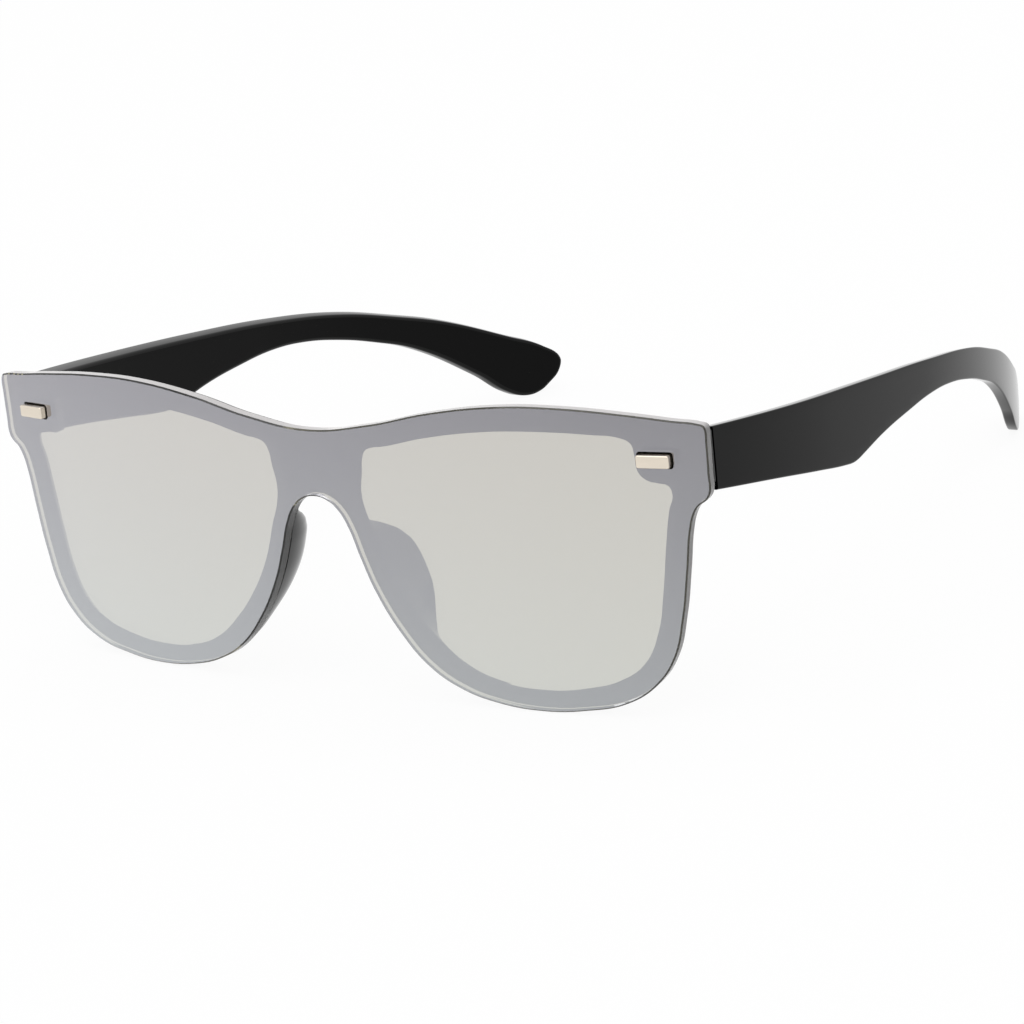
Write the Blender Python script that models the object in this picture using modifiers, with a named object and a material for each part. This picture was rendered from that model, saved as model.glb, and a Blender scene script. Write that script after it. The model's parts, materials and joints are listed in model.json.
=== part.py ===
"""One-piece mirrored lens sunglasses with a horn-rimmed outline, temples open.

The glasses are drawn upright first: X to the wearer's left, Y back along the temples,
Z up from the lowest point of the lens. At the end they are tipped back until the lens
and both temple tips stand on the ground. Lengths are metres.
"""
import math

import bmesh
import bpy
from mathutils import Matrix, Vector

# Shared clearance between pieces that touch, and the overrun of a cutter
SEAT_GAP = 0.0003
CUT_OVERRUN = 0.0010

# An inset corner runs out no further than the inset divided by this share
MITRE_SHARE = 0.5

# One-piece lens
LENS_WIDTH = 0.1450
LENS_HEIGHT = 0.0504
LENS_THICKNESS = 0.0020
LENS_FRONT_RADIUS = 0.4000
LENS_CHAMFER = 0.00025
LENS_STRIPS = 13

# Half of the lens edge, from the middle of the brow round to the nose arch,
# as shares of half the lens width and of the lens height
LENS_EDGE_SHARES = (
    (0.000, 0.885), (0.175, 0.915), (0.334, 0.964), (0.512, 0.996), (0.672, 0.998),
    (0.828, 0.983), (0.975, 0.961), (0.996, 0.950), (1.000, 0.930), (1.000, 0.745),
    (0.990, 0.722), (0.969, 0.700), (0.957, 0.671), (0.947, 0.625), (0.934, 0.492),
    (0.916, 0.343), (0.887, 0.204), (0.841, 0.113), (0.766, 0.046), (0.662, 0.012),
    (0.552, 0.000), (0.434, 0.016), (0.346, 0.052), (0.269, 0.115), (0.199, 0.222),
    (0.141, 0.357), (0.110, 0.466), (0.086, 0.562), (0.063, 0.617), (0.034, 0.650),
    (0.000, 0.661),
)

# Moulded frame behind the lens
FRAME_THICKNESS = 0.0014
FRAME_INSET = 0.0007
FRAME_ROUNDING = 0.0005

# One eye opening, in the same shares as the lens edge
EYE_EDGE_SHARES = (
    (0.130, 0.770), (0.145, 0.815), (0.185, 0.836), (0.308, 0.875), (0.461, 0.905),
    (0.601, 0.913), (0.735, 0.909), (0.794, 0.903), (0.822, 0.885), (0.829, 0.845),
    (0.831, 0.795), (0.846, 0.765), (0.875, 0.753), (0.900, 0.744), (0.906, 0.718),
    (0.899, 0.676), (0.884, 0.560), (0.868, 0.413), (0.849, 0.280), (0.811, 0.172),
    (0.748, 0.107), (0.662, 0.068), (0.552, 0.052), (0.441, 0.067), (0.353, 0.107),
    (0.281, 0.178), (0.219, 0.302), (0.176, 0.428), (0.147, 0.544), (0.125, 0.624),
    (0.120, 0.680),
)

# Nose pads moulded on the frame: the nose face is an arc that starts near the edge of
# the lens and ends in a round tip. Stations down the nose side are the share of the
# lens height and the share of the pad's full section.
PAD_REACH = 0.0085
PAD_CURVE_RADIUS = 0.0130
PAD_TIP_RADIUS = 0.00075
PAD_INSET = 0.0002
PAD_STEP = 0.0001
PAD_STATION_SHARES = (
    (0.612, 0.03), (0.590, 0.35), (0.552, 0.72), (0.506, 0.95), (0.460, 1.00),
    (0.413, 1.00), (0.363, 0.98), (0.317, 0.92), (0.272, 0.80), (0.226, 0.67),
    (0.183, 0.52), (0.135, 0.38), (0.092, 0.20), (0.060, 0.03),
)

# Rivets that hold the lens on the frame
RIVET_FROM_END = 0.0083
RIVET_FROM_TOP = 0.0079
RIVET_LENGTH = 0.0056
RIVET_BREADTH = 0.0021
RIVET_PROUD = 0.0013
RIVET_ROUNDING = 0.0003
RIVET_ROUNDING_STEPS = 2
RIVET_CORNER_SHARE = 0.8
RIVET_PIN_RADIUS = 0.0006
RIVET_PIN_LENGTH = 0.0008
RIVET_PIN_SIDES = 16
ROUND_PROFILE_SHARE = 0.5

# Block behind each end of the frame that carries the hinge
END_BLOCK_DEPTH = 0.0011
END_BLOCK_WIDTH = 0.0105
END_BLOCK_HEIGHT = 0.0100
END_BLOCK_FROM_END = 0.0009

# Hinges: two knuckles on the front leaf, one on the temple leaf, and a screw
HINGE_AXIS_FROM_SIDE = 0.0054
HINGE_KNUCKLE_RADIUS = 0.0016
HINGE_KNUCKLE_HEIGHT = 0.0018
HINGE_SIDES = 24
LEAF_THICKNESS = 0.0010
FRONT_LEAF_WIDTH = 0.0048
TEMPLE_LEAF_LENGTH = 0.0075
SCREW_RADIUS = 0.00065
SCREW_HEAD_RADIUS = 0.00125
SCREW_HEAD_HEIGHT = 0.0005

# Temples, seen from above: the line of their middle bows out from the hinge to its
# widest place, turns in again, and turns in more where it hooks behind the ear
TEMPLE_THICKNESS = 0.0036
TEMPLE_TIP_THICKNESS = 0.0022
TEMPLE_ROUNDING = 0.0009
TEMPLE_WIDEST_OUT = 0.0006
TEMPLE_WIDEST_Y = 0.0420
TEMPLE_FRONT_BEND = 0.2000
TEMPLE_MIDDLE_BEND = 0.4700
TEMPLE_HOOK_Y = 0.0745
TEMPLE_HOOK_BEND = 0.2560
TEMPLE_STRIPS = 19

# Temples, seen from the side: the edge as shares of the length and of the drop from
# the top of the front end to the bottom of the tip
TEMPLE_LENGTH = 0.1339
TEMPLE_DROP = 0.0354
TEMPLE_RISE = 0.0044
TEMPLE_EDGE_SHARES = (
    (0.000, 0.000), (0.161, 0.054), (0.357, 0.118), (0.507, 0.176), (0.646, 0.259),
    (0.746, 0.360), (0.822, 0.453), (0.925, 0.628), (0.975, 0.721), (1.000, 0.812),
    (0.997, 0.892), (0.980, 0.955), (0.962, 0.993), (0.940, 0.998), (0.914, 0.955),
    (0.868, 0.815), (0.768, 0.576), (0.698, 0.475), (0.630, 0.401), (0.565, 0.354),
    (0.503, 0.339), (0.427, 0.359), (0.359, 0.392), (0.307, 0.438), (0.284, 0.455),
    (0.262, 0.452), (0.197, 0.410), (0.111, 0.353), (0.000, 0.291),
)

# Counts that only set how finely round stretches are drawn
EDGE_STEPS = 3
ROUNDING_STEPS = 1
PAD_CURVE_STEPS = 4
PAD_TIP_STEPS = 4
SETTLE_STEPS = 40
SMOOTH_ANGLE = math.radians(35)
FLAT_ANGLE = math.radians(0.05)
STEEPEST_TILT = math.radians(20)

# Places that follow from the sizes above
HALF_WIDTH = LENS_WIDTH / 2
LENS_STRIP = LENS_WIDTH / LENS_STRIPS
FRAME_FRONT = LENS_THICKNESS + SEAT_GAP
FRAME_BACK = FRAME_FRONT + FRAME_THICKNESS
RIVET_X = HALF_WIDTH - RIVET_FROM_END
RIVET_HEIGHT = LENS_HEIGHT - RIVET_FROM_TOP
END_BLOCK_SIDE = HALF_WIDTH - END_BLOCK_FROM_END
HINGE_AXIS_X = END_BLOCK_SIDE - HINGE_AXIS_FROM_SIDE
HINGE_HEIGHT = 3 * HINGE_KNUCKLE_HEIGHT + 2 * SEAT_GAP
TEMPLE_STRIP = TEMPLE_LENGTH / TEMPLE_STRIPS
TEMPLE_WIDEST_X = END_BLOCK_SIDE + TEMPLE_WIDEST_OUT
TEMPLE_TOP = RIVET_HEIGHT + TEMPLE_RISE
WELD_DISTANCE = LENS_CHAMFER / 20
CUT_TOLERANCE = SEAT_GAP / 100
SIDES = (("left", 1), ("right", -1))

# Colours as linear red, green, blue, then roughness and metallic
MIRROR_FINISH = ((0.42, 0.42, 0.44), 0.05, 1.0)
GLOSS_BLACK_FINISH = ((0.012, 0.012, 0.013), 0.15, 0.0)
SATIN_BLACK_FINISH = ((0.020, 0.020, 0.021), 0.30, 0.0)
PALE_METAL_FINISH = ((0.78, 0.70, 0.60), 0.20, 1.0)
STEEL_FINISH = ((0.55, 0.55, 0.57), 0.30, 1.0)


def clear_scene():
    """Remove what a new file holds."""
    for item in list(bpy.data.objects):
        bpy.data.objects.remove(item, do_unlink=True)


def new_collection(name):
    """Make a collection in the scene."""
    collection = bpy.data.collections.new(name)
    bpy.context.scene.collection.children.link(collection)
    return collection


def finish(name, values):
    """Make a material from a colour, a roughness and a metallic value."""
    colour, roughness, metallic = values
    material = bpy.data.materials.new(name)
    material.use_nodes = True
    shader = material.node_tree.nodes["Principled BSDF"]
    shader.inputs["Base Color"].default_value = (*colour, 1.0)
    shader.inputs["Roughness"].default_value = roughness
    shader.inputs["Metallic"].default_value = metallic
    return material


def new_object(name, mesh, collection, material=None):
    """Put a mesh in the scene as a named object."""
    item = bpy.data.objects.new(name, mesh)
    collection.objects.link(item)
    if material:
        mesh.materials.append(material)
    return item


def new_empty(name, collection, parent=None):
    """Make an empty that other objects are parented to."""
    item = bpy.data.objects.new(name, None)
    collection.objects.link(item)
    item.parent = parent
    return item


def store(bm, name):
    """Turn a bmesh into a mesh with its faces pointing out."""
    bmesh.ops.recalc_face_normals(bm, faces=bm.faces)
    mesh = bpy.data.meshes.new(name)
    bm.to_mesh(mesh)
    bm.free()
    return mesh


def shade(item):
    """Shade round stretches smooth and keep real corners sharp."""
    item.data.shade_smooth()
    item.data.set_sharp_from_angle(angle=SMOOTH_ANGLE)


# Bent space of the lens: along it, behind its front face, and up
def arc_point(along, behind):
    """Return a point on the curved lens as X and Y."""
    angle = along / LENS_FRONT_RADIUS
    radius = LENS_FRONT_RADIUS - behind
    return Vector((radius * math.sin(angle), LENS_FRONT_RADIUS - radius * math.cos(angle)))


END_BLOCK_BACK = arc_point(HINGE_AXIS_X, FRAME_BACK).y + END_BLOCK_DEPTH
TEMPLE_FRONT_Y = END_BLOCK_BACK + SEAT_GAP
HINGE_AXIS_Y = TEMPLE_FRONT_Y + HINGE_KNUCKLE_RADIUS


def on_lens(along, behind, height):
    """Return a point in lens space, where each strip of the lens is flat."""
    strips = along / LENS_STRIP + 0.5
    first = (math.floor(strips) - 0.5) * LENS_STRIP
    start = arc_point(first, behind)
    end = arc_point(first + LENS_STRIP, behind)
    place = start.lerp(end, strips - math.floor(strips))
    return Vector((place.x, place.y, height))


def edge_point(shares):
    """Turn a pair of lens shares into a length along the lens and a height."""
    return shares[0] * HALF_WIDTH, shares[1] * LENS_HEIGHT


def inset_loop(points, inset):
    """Move a closed loop, drawn clockwise, inwards by a distance."""
    moved = []
    for index, point in enumerate(points):
        here = Vector(point)
        before = (here - Vector(points[index - 1])).normalized()
        after = (Vector(points[(index + 1) % len(points)]) - here).normalized()
        inward = Vector((before.y + after.y, -before.x - after.x)).normalized()
        square = Vector((after.y, -after.x))
        moved.append(tuple(here + inward * inset / max(inward.dot(square), MITRE_SHARE)))
    return moved


def lens_loop(inset):
    """Return the whole lens edge, clockwise from the middle of the brow."""
    half = [edge_point(pair) for pair in LENS_EDGE_SHARES]
    mirrored = [(-x, z) for x, z in reversed(half[1:-1])]
    return inset_loop(half + mirrored, inset)


def eye_loop(side, inset):
    """Return one eye opening, clockwise, made larger by a distance."""
    points = [edge_point(pair) for pair in EYE_EDGE_SHARES]
    if side < 0:
        points = [(-x, z) for x, z in reversed(points)]
    return inset_loop(points, -inset)


def slot_loop(side):
    """Return the slot in the lens that a rivet passes through."""
    half_length = RIVET_LENGTH / 2 + SEAT_GAP
    half_breadth = RIVET_BREADTH / 2 + SEAT_GAP
    cut = RIVET_CORNER_SHARE * half_length
    rise = RIVET_CORNER_SHARE * half_breadth
    corners = (
        (-cut, half_breadth), (cut, half_breadth), (half_length, rise), (half_length, -rise),
        (cut, -half_breadth), (-cut, -half_breadth), (-half_length, -rise), (-half_length, rise),
    )
    return [(side * RIVET_X + x, RIVET_HEIGHT + z) for x, z in corners]


def add_loop(curve, points, corners):
    """Add a closed spline through the points, with sharp corners at some of them."""
    spline = curve.splines.new("BEZIER")
    spline.bezier_points.add(len(points) - 1)
    spline.use_cyclic_u = True
    for knot, point in zip(spline.bezier_points, points):
        knot.co = (*point, 0.0)
    for index, knot in enumerate(spline.bezier_points):
        kind = "VECTOR" if index in corners else "AUTO"
        knot.handle_left_type = kind
        knot.handle_right_type = kind


def plate(loops, thickness, rounding, steps):
    """Make a flat plate from an outer loop and the holes in it, as a bmesh."""
    curve = bpy.data.curves.new("outline", "CURVE")
    curve.dimensions = "2D"
    curve.fill_mode = "BOTH"
    curve.resolution_u = EDGE_STEPS
    curve.extrude = thickness / 2 - rounding
    curve.bevel_depth = rounding
    curve.bevel_resolution = steps
    for points, corners in loops:
        add_loop(curve, points, corners)
    guide = bpy.data.objects.new("outline", curve)
    bpy.context.scene.collection.objects.link(guide)
    bpy.context.view_layer.update()
    solid = guide.evaluated_get(bpy.context.evaluated_depsgraph_get())
    mesh = bpy.data.meshes.new_from_object(solid)
    bpy.data.objects.remove(guide, do_unlink=True)
    bm = bmesh.new()
    bm.from_mesh(mesh)
    bmesh.ops.remove_doubles(bm, verts=bm.verts, dist=WELD_DISTANCE)
    return bm


def keep_back_half(bm):
    """Cut away the front half of a rounded plate, which leaves its front face flat."""
    cut = bmesh.ops.bisect_plane(
        bm, geom=bm.verts[:] + bm.edges[:] + bm.faces[:], dist=CUT_TOLERANCE,
        plane_co=(0, 0, 0), plane_no=(0, 0, 1), clear_outer=True,
    )
    rim = [part for part in cut["geom_cut"] if isinstance(part, bmesh.types.BMEdge)]
    bmesh.ops.triangle_fill(bm, edges=rim, use_beauty=False)


def cut_strips(bm, places):
    """Cut a plate across at each place, and merge the flat faces between the cuts."""
    for place in places:
        geometry = bm.verts[:] + bm.edges[:] + bm.faces[:]
        cut = bmesh.ops.bisect_plane(
            bm, geom=geometry, dist=CUT_TOLERANCE,
            plane_co=(place, 0, 0), plane_no=(1, 0, 0),
        )
        for part in cut["geom_cut"]:
            if isinstance(part, bmesh.types.BMEdge):
                part.seam = True
    bmesh.ops.dissolve_limit(
        bm, angle_limit=FLAT_ANGLE, verts=bm.verts, edges=bm.edges, delimit={"SEAM"},
    )


def lens_strip_places():
    """Return the places where the strips of the lens meet."""
    return [(number - LENS_STRIPS / 2) * LENS_STRIP for number in range(1, LENS_STRIPS)]


def bend_plate(bm, middle):
    """Bend a flat plate onto the lens, with its middle a distance behind the front."""
    for vertex in bm.verts:
        along, height, depth = vertex.co
        vertex.co = on_lens(along, middle - depth, height)


def box_mesh(name, low, high):
    """Make a box between two corners."""
    bm = bmesh.new()
    bmesh.ops.create_cube(bm, size=1)
    size = [b - a for a, b in zip(low, high)]
    middle = [(a + b) / 2 for a, b in zip(low, high)]
    bmesh.ops.scale(bm, vec=size, verts=bm.verts)
    bmesh.ops.translate(bm, vec=middle, verts=bm.verts)
    return store(bm, name)


def rod_mesh(name, radius, low, high, sides):
    """Make an upright cylinder on the Z axis between two heights."""
    bm = bmesh.new()
    bmesh.ops.create_cone(
        bm, cap_ends=True, segments=sides, radius1=radius, radius2=radius, depth=high - low,
    )
    bmesh.ops.translate(bm, vec=(0, 0, (low + high) / 2), verts=bm.verts)
    return store(bm, name)


def make_real(item):
    """Replace an object's mesh by what its modifiers make of it."""
    bpy.context.view_layer.update()
    solid = item.evaluated_get(bpy.context.evaluated_depsgraph_get())
    mesh = bpy.data.meshes.new_from_object(solid)
    item.modifiers.clear()
    item.data = mesh


def apply_boolean(item, other, operation):
    """Join another object to this one or cut it out, and make the result real."""
    step = item.modifiers.new(operation.lower(), "BOOLEAN")
    step.operation = operation
    step.object = other
    step.solver = "EXACT"
    make_real(item)


def cut_out(item, cutter):
    """Cut one object out of another, and keep the cutter as a hidden guide."""
    apply_boolean(item, cutter, "DIFFERENCE")
    cutter.hide_render = True
    cutter.display_type = "WIRE"


def join(item, other):
    """Join another object to this one and remove it."""
    apply_boolean(item, other, "UNION")
    bpy.data.objects.remove(other, do_unlink=True)


# Lens and frame
def make_lens(parts, material):
    """Make the lens: a bent plate with a slot at each end."""
    loops = [(lens_loop(LENS_CHAMFER), ())]
    for _, side in SIDES:
        slot = inset_loop(slot_loop(side), -LENS_CHAMFER)
        loops.append((slot, range(len(slot))))
    bm = plate(loops, LENS_THICKNESS, LENS_CHAMFER, 0)
    cut_strips(bm, lens_strip_places())
    bend_plate(bm, LENS_THICKNESS / 2)
    return new_object("mirror_lens", store(bm, "mirror_lens"), parts, material)


def nose_side_x(edge_shares, height):
    """Return how far from the middle the nose side of an edge is at a height."""
    lowest = min(range(len(edge_shares)), key=lambda index: edge_shares[index][1])
    nose = [edge_point(pair) for pair in edge_shares[lowest:]]
    for (x_low, z_low), (x_high, z_high) in zip(nose, nose[1:]):
        if z_low <= height <= z_high:
            share = (height - z_low) / (z_high - z_low)
            return x_low + share * (x_high - x_low)
    return nose[-1][0]


def around(centre, radius, angle):
    """Return a point on a circle, from an angle that turns from the nose to the back."""
    return centre[0] - radius * math.cos(angle), centre[1] + radius * math.sin(angle)


def pad_section(height, share):
    """Return one level cut through a nose pad: nose face, round tip and root."""
    nose_x = nose_side_x(LENS_EDGE_SHARES, height)
    buried_inset = FRAME_INSET + SEAT_GAP
    start_x = nose_x + buried_inset + share * (PAD_INSET - buried_inset)
    start_y = arc_point(nose_x, FRAME_FRONT).y + PAD_STEP
    curve = share * PAD_CURVE_RADIUS
    tip = share * PAD_TIP_RADIUS
    turn = math.asin((PAD_REACH - PAD_TIP_RADIUS) / (PAD_CURVE_RADIUS - PAD_TIP_RADIUS))
    centre = (start_x + curve, start_y)
    tip_centre = around(centre, curve - tip, turn)
    points = [around(centre, curve, turn * step / PAD_CURVE_STEPS) for step in range(PAD_CURVE_STEPS)]
    for step in range(PAD_TIP_STEPS + 1):
        points.append(around(tip_centre, tip, turn + (math.pi - turn) * step / PAD_TIP_STEPS))
    eye_root = nose_side_x(EYE_EDGE_SHARES, height) - FRAME_ROUNDING
    points.append((eye_root, arc_point(eye_root, FRAME_FRONT + FRAME_THICKNESS / 2).y))
    return points


def make_pad(side, cutters):
    """Make a nose pad as a loft from level to level."""
    bm = bmesh.new()
    rings = []
    for height_share, reach_share in PAD_STATION_SHARES:
        height = height_share * LENS_HEIGHT
        section = pad_section(height, reach_share)
        rings.append([bm.verts.new((side * x, y, height)) for x, y in section])
    for upper, lower in zip(rings, rings[1:]):
        for index in range(len(upper)):
            after = (index + 1) % len(upper)
            bm.faces.new((upper[index], upper[after], lower[after], lower[index]))
    bm.faces.new(rings[0])
    bm.faces.new(reversed(rings[-1]))
    return new_object("pad", store(bm, "pad"), cutters)


def make_end_block(side, cutters):
    """Make the block that the hinge is set in."""
    low = (END_BLOCK_SIDE - END_BLOCK_WIDTH, 0, RIVET_HEIGHT - END_BLOCK_HEIGHT / 2)
    high = (END_BLOCK_SIDE, END_BLOCK_BACK, RIVET_HEIGHT + END_BLOCK_HEIGHT / 2)
    block = new_object("end_block", box_mesh("end_block", low, high), cutters)
    for vertex in block.data.vertices:
        if vertex.co.y < END_BLOCK_BACK / 2:
            vertex.co.y = arc_point(vertex.co.x, FRAME_FRONT + FRAME_THICKNESS / 2).y
    block.data.transform(Matrix.Diagonal((side, 1, 1, 1)))
    if side < 0:
        block.data.flip_normals()
    return block


def leaf_pocket(side, cutters):
    """Make the cutter for the pocket that a hinge's front leaf sits in."""
    low, high = front_leaf_box(SEAT_GAP)
    mesh = box_mesh("leaf_pocket", low, (high[0], high[1] + CUT_OVERRUN, high[2]))
    mesh.transform(fold_axis_place(side))
    return new_object("leaf_pocket", mesh, cutters)


def make_frame(parts, cutters, material):
    """Make the frame: a bent plate with eye openings, nose pads and end blocks."""
    outer = lens_loop(FRAME_INSET + FRAME_ROUNDING)
    eyes = [(eye_loop(side, FRAME_ROUNDING), ()) for _, side in SIDES]
    bm = plate([(outer, ())] + eyes, 2 * FRAME_THICKNESS, FRAME_ROUNDING, ROUNDING_STEPS)
    keep_back_half(bm)
    cut_strips(bm, lens_strip_places())
    bend_plate(bm, FRAME_FRONT)
    frame = new_object("frame_front", store(bm, "frame_front"), parts)
    for _, side in SIDES:
        join(frame, make_pad(side, cutters))
        join(frame, make_end_block(side, cutters))
        cut_out(frame, rivet_pin(side, RIVET_PIN_RADIUS + SEAT_GAP, RIVET_PIN_LENGTH + SEAT_GAP, cutters))
        cut_out(frame, leaf_pocket(side, cutters))
    frame.data.materials.clear()
    frame.data.materials.append(material)
    return frame


# Rivets
def make_rivet(name, side, parts, cutters, material):
    """Make a rivet: a rounded bar through the lens, with a pin into the frame."""
    half_length = RIVET_LENGTH / 2
    half_breadth = RIVET_BREADTH / 2
    low = (side * RIVET_X - half_length, RIVET_HEIGHT - half_breadth, -LENS_THICKNESS)
    high = (side * RIVET_X + half_length, RIVET_HEIGHT + half_breadth, RIVET_PROUD)
    bm = bmesh.new()
    bm.from_mesh(box_mesh(name, low, high))
    bmesh.ops.bevel(
        bm, geom=bm.edges[:], offset=RIVET_ROUNDING, segments=RIVET_ROUNDING_STEPS,
        affect="EDGES", profile=ROUND_PROFILE_SHARE,
    )
    bend_plate(bm, 0)
    rivet = new_object(name, store(bm, name), parts)
    join(rivet, rivet_pin(side, RIVET_PIN_RADIUS, RIVET_PIN_LENGTH, cutters))
    rivet.data.materials.clear()
    rivet.data.materials.append(material)
    return rivet


def rivet_pin(side, radius, length, collection):
    """Make the round pin behind a rivet's bar, or the cutter for its hole."""
    bm = bmesh.new()
    bm.from_mesh(rod_mesh("pin", radius, -FRAME_FRONT - length, -LENS_THICKNESS / 2, RIVET_PIN_SIDES))
    bmesh.ops.translate(bm, vec=(side * RIVET_X, RIVET_HEIGHT, 0), verts=bm.verts)
    bend_plate(bm, 0)
    return new_object("rivet_pin_hole", store(bm, "pin"), collection)


# Hinges, drawn about their own axis
def prism_mesh(name, points, low, high):
    """Make an upright prism from a flat outline."""
    bm = bmesh.new()
    base = bm.faces.new([bm.verts.new((x, y, low)) for x, y in points])
    grown = bmesh.ops.extrude_face_region(bm, geom=[base])
    raised = [part for part in grown["geom"] if isinstance(part, bmesh.types.BMVert)]
    bmesh.ops.translate(bm, vec=(0, 0, high - low), verts=raised)
    return store(bm, name)


def knuckle(number, heading, reach, parts):
    """Make a knuckle round the axis, with a tongue of a given reach and heading."""
    low = -HINGE_HEIGHT / 2 + number * (HINGE_KNUCKLE_HEIGHT + SEAT_GAP)
    half_turn = HINGE_SIDES // 2
    outline = []
    for step in range(half_turn + 1):
        angle = math.pi / 2 + math.pi * step / half_turn
        outline.append((HINGE_KNUCKLE_RADIUS * math.cos(angle), HINGE_KNUCKLE_RADIUS * math.sin(angle)))
    outline += [(reach, -HINGE_KNUCKLE_RADIUS), (reach, HINGE_KNUCKLE_RADIUS)]
    item = new_object("knuckle", prism_mesh("knuckle", outline, low, low + HINGE_KNUCKLE_HEIGHT), parts)
    item.data.transform(Matrix.Rotation(heading, 4, "Z"))
    return item


def screw_hole(cutters):
    """Make the cutter for the screw's hole through a leaf."""
    reach = HINGE_HEIGHT / 2 + CUT_OVERRUN
    mesh = rod_mesh("screw_hole", SCREW_RADIUS + SEAT_GAP, -reach, reach, HINGE_SIDES)
    return new_object("screw_hole", mesh, cutters)


def front_leaf_box(grow):
    """Return two corners of the front leaf's plate, made larger by a distance."""
    back = END_BLOCK_BACK - HINGE_AXIS_Y
    low = (-FRONT_LEAF_WIDTH / 2 - grow, back - LEAF_THICKNESS - grow, -HINGE_HEIGHT / 2 - grow)
    high = (FRONT_LEAF_WIDTH / 2 + grow, back, HINGE_HEIGHT / 2 + grow)
    return low, high


def make_front_leaf(name, parts, cutters):
    """Make the leaf that is set in the frame, with the outer two knuckles."""
    leaf = new_object(name, box_mesh(name, *front_leaf_box(0)), parts)
    reach = HINGE_AXIS_Y - END_BLOCK_BACK + LEAF_THICKNESS / 2
    for number in (0, 2):
        join(leaf, knuckle(number, -math.pi / 2, reach, parts))
    cut_out(leaf, screw_hole(cutters))
    return leaf


def temple_middle_x(y):
    """Return how far out the middle line of a temple is, seen from above."""
    if y < TEMPLE_WIDEST_Y:
        return TEMPLE_WIDEST_X - (TEMPLE_WIDEST_Y - y) ** 2 / (2 * TEMPLE_FRONT_BEND)
    hook = max(y - TEMPLE_HOOK_Y, 0) ** 2 / (2 * TEMPLE_HOOK_BEND)
    return TEMPLE_WIDEST_X - (y - TEMPLE_WIDEST_Y) ** 2 / (2 * TEMPLE_MIDDLE_BEND) - hook


def temple_leaf_place():
    """Return where the temple leaf's plate lies: the middle of its flush face, turned."""
    middle_y = TEMPLE_FRONT_Y + TEMPLE_LEAF_LENGTH / 2
    ahead = temple_middle_x(middle_y + TEMPLE_LEAF_LENGTH / 2)
    behind = temple_middle_x(middle_y - TEMPLE_LEAF_LENGTH / 2)
    turn = math.atan2(ahead - behind, TEMPLE_LEAF_LENGTH)
    inner_x = temple_middle_x(middle_y) - TEMPLE_THICKNESS / 2 / math.cos(turn)
    place = Matrix.Translation((inner_x - HINGE_AXIS_X, middle_y - HINGE_AXIS_Y, 0))
    return place @ Matrix.Rotation(-turn, 4, "Z")


def temple_leaf_plate(name, grow, overrun, collection):
    """Make the temple leaf's plate, or with an overrun the cutter for its pocket."""
    half = TEMPLE_LEAF_LENGTH / 2
    low = (-overrun, -half - overrun, -HINGE_HEIGHT / 2 - grow)
    high = (LEAF_THICKNESS + grow, half + grow, HINGE_HEIGHT / 2 + grow)
    plate_mesh = box_mesh(name, low, high)
    plate_mesh.transform(temple_leaf_place())
    return new_object(name, plate_mesh, collection)


def make_temple_leaf(name, parts, cutters):
    """Make the leaf that is set in a temple, with the middle knuckle."""
    leaf = temple_leaf_plate(name, 0, 0, parts)
    corner = temple_leaf_place().translation
    join(leaf, knuckle(1, 0, corner.x + LEAF_THICKNESS / 2, parts))
    cut_out(leaf, screw_hole(cutters))
    return leaf


def make_screw(name, parts):
    """Make the hinge screw as a turned profile."""
    under_head = HINGE_HEIGHT / 2 + SEAT_GAP
    profile = (
        (0, under_head + SCREW_HEAD_HEIGHT), (SCREW_HEAD_RADIUS, under_head + SCREW_HEAD_HEIGHT),
        (SCREW_HEAD_RADIUS, under_head), (SCREW_RADIUS, under_head),
        (SCREW_RADIUS, -HINGE_HEIGHT / 2), (0, -HINGE_HEIGHT / 2),
    )
    bm = bmesh.new()
    line = [bm.verts.new((radius, 0, height)) for radius, height in profile]
    for upper, lower in zip(line, line[1:]):
        bm.edges.new((upper, lower))
    mesh = bpy.data.meshes.new(name)
    bm.to_mesh(mesh)
    bm.free()
    screw = new_object(name, mesh, parts)
    turn = screw.modifiers.new("turn", "SCREW")
    turn.steps = HINGE_SIDES
    turn.render_steps = HINGE_SIDES
    turn.use_merge_vertices = True
    turn.merge_threshold = SCREW_RADIUS / 100
    make_real(screw)
    return screw


# Temples
def temple_loop():
    """Return the side outline of a temple, run past its front end so it can be cut."""
    edge = [(x * TEMPLE_LENGTH, TEMPLE_TOP - z * TEMPLE_DROP) for x, z in TEMPLE_EDGE_SHARES]
    front = -2 * TEMPLE_ROUNDING
    points = [(front, edge[0][1])] + edge + [(front, edge[-1][1])]
    return inset_loop(points, TEMPLE_ROUNDING), (0, len(points) - 1)


def temple_section(along, height, offset):
    """Return a point of the bent temple from its place on the straight one."""
    share = min(max(along / TEMPLE_LENGTH, 0), 1)
    thickness = TEMPLE_THICKNESS + share * (TEMPLE_TIP_THICKNESS - TEMPLE_THICKNESS)
    y = TEMPLE_FRONT_Y + along
    return Vector((temple_middle_x(y) + offset * thickness / TEMPLE_THICKNESS, y, height))


def bend_temple(bm):
    """Bend a straight temple, keeping each strip of it flat."""
    for vertex in bm.verts:
        along, height, offset = vertex.co
        strips = along / TEMPLE_STRIP
        first = math.floor(strips) * TEMPLE_STRIP
        start = temple_section(first, height, offset)
        end = temple_section(first + TEMPLE_STRIP, height, offset)
        vertex.co = start.lerp(end, strips - math.floor(strips))


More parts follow.
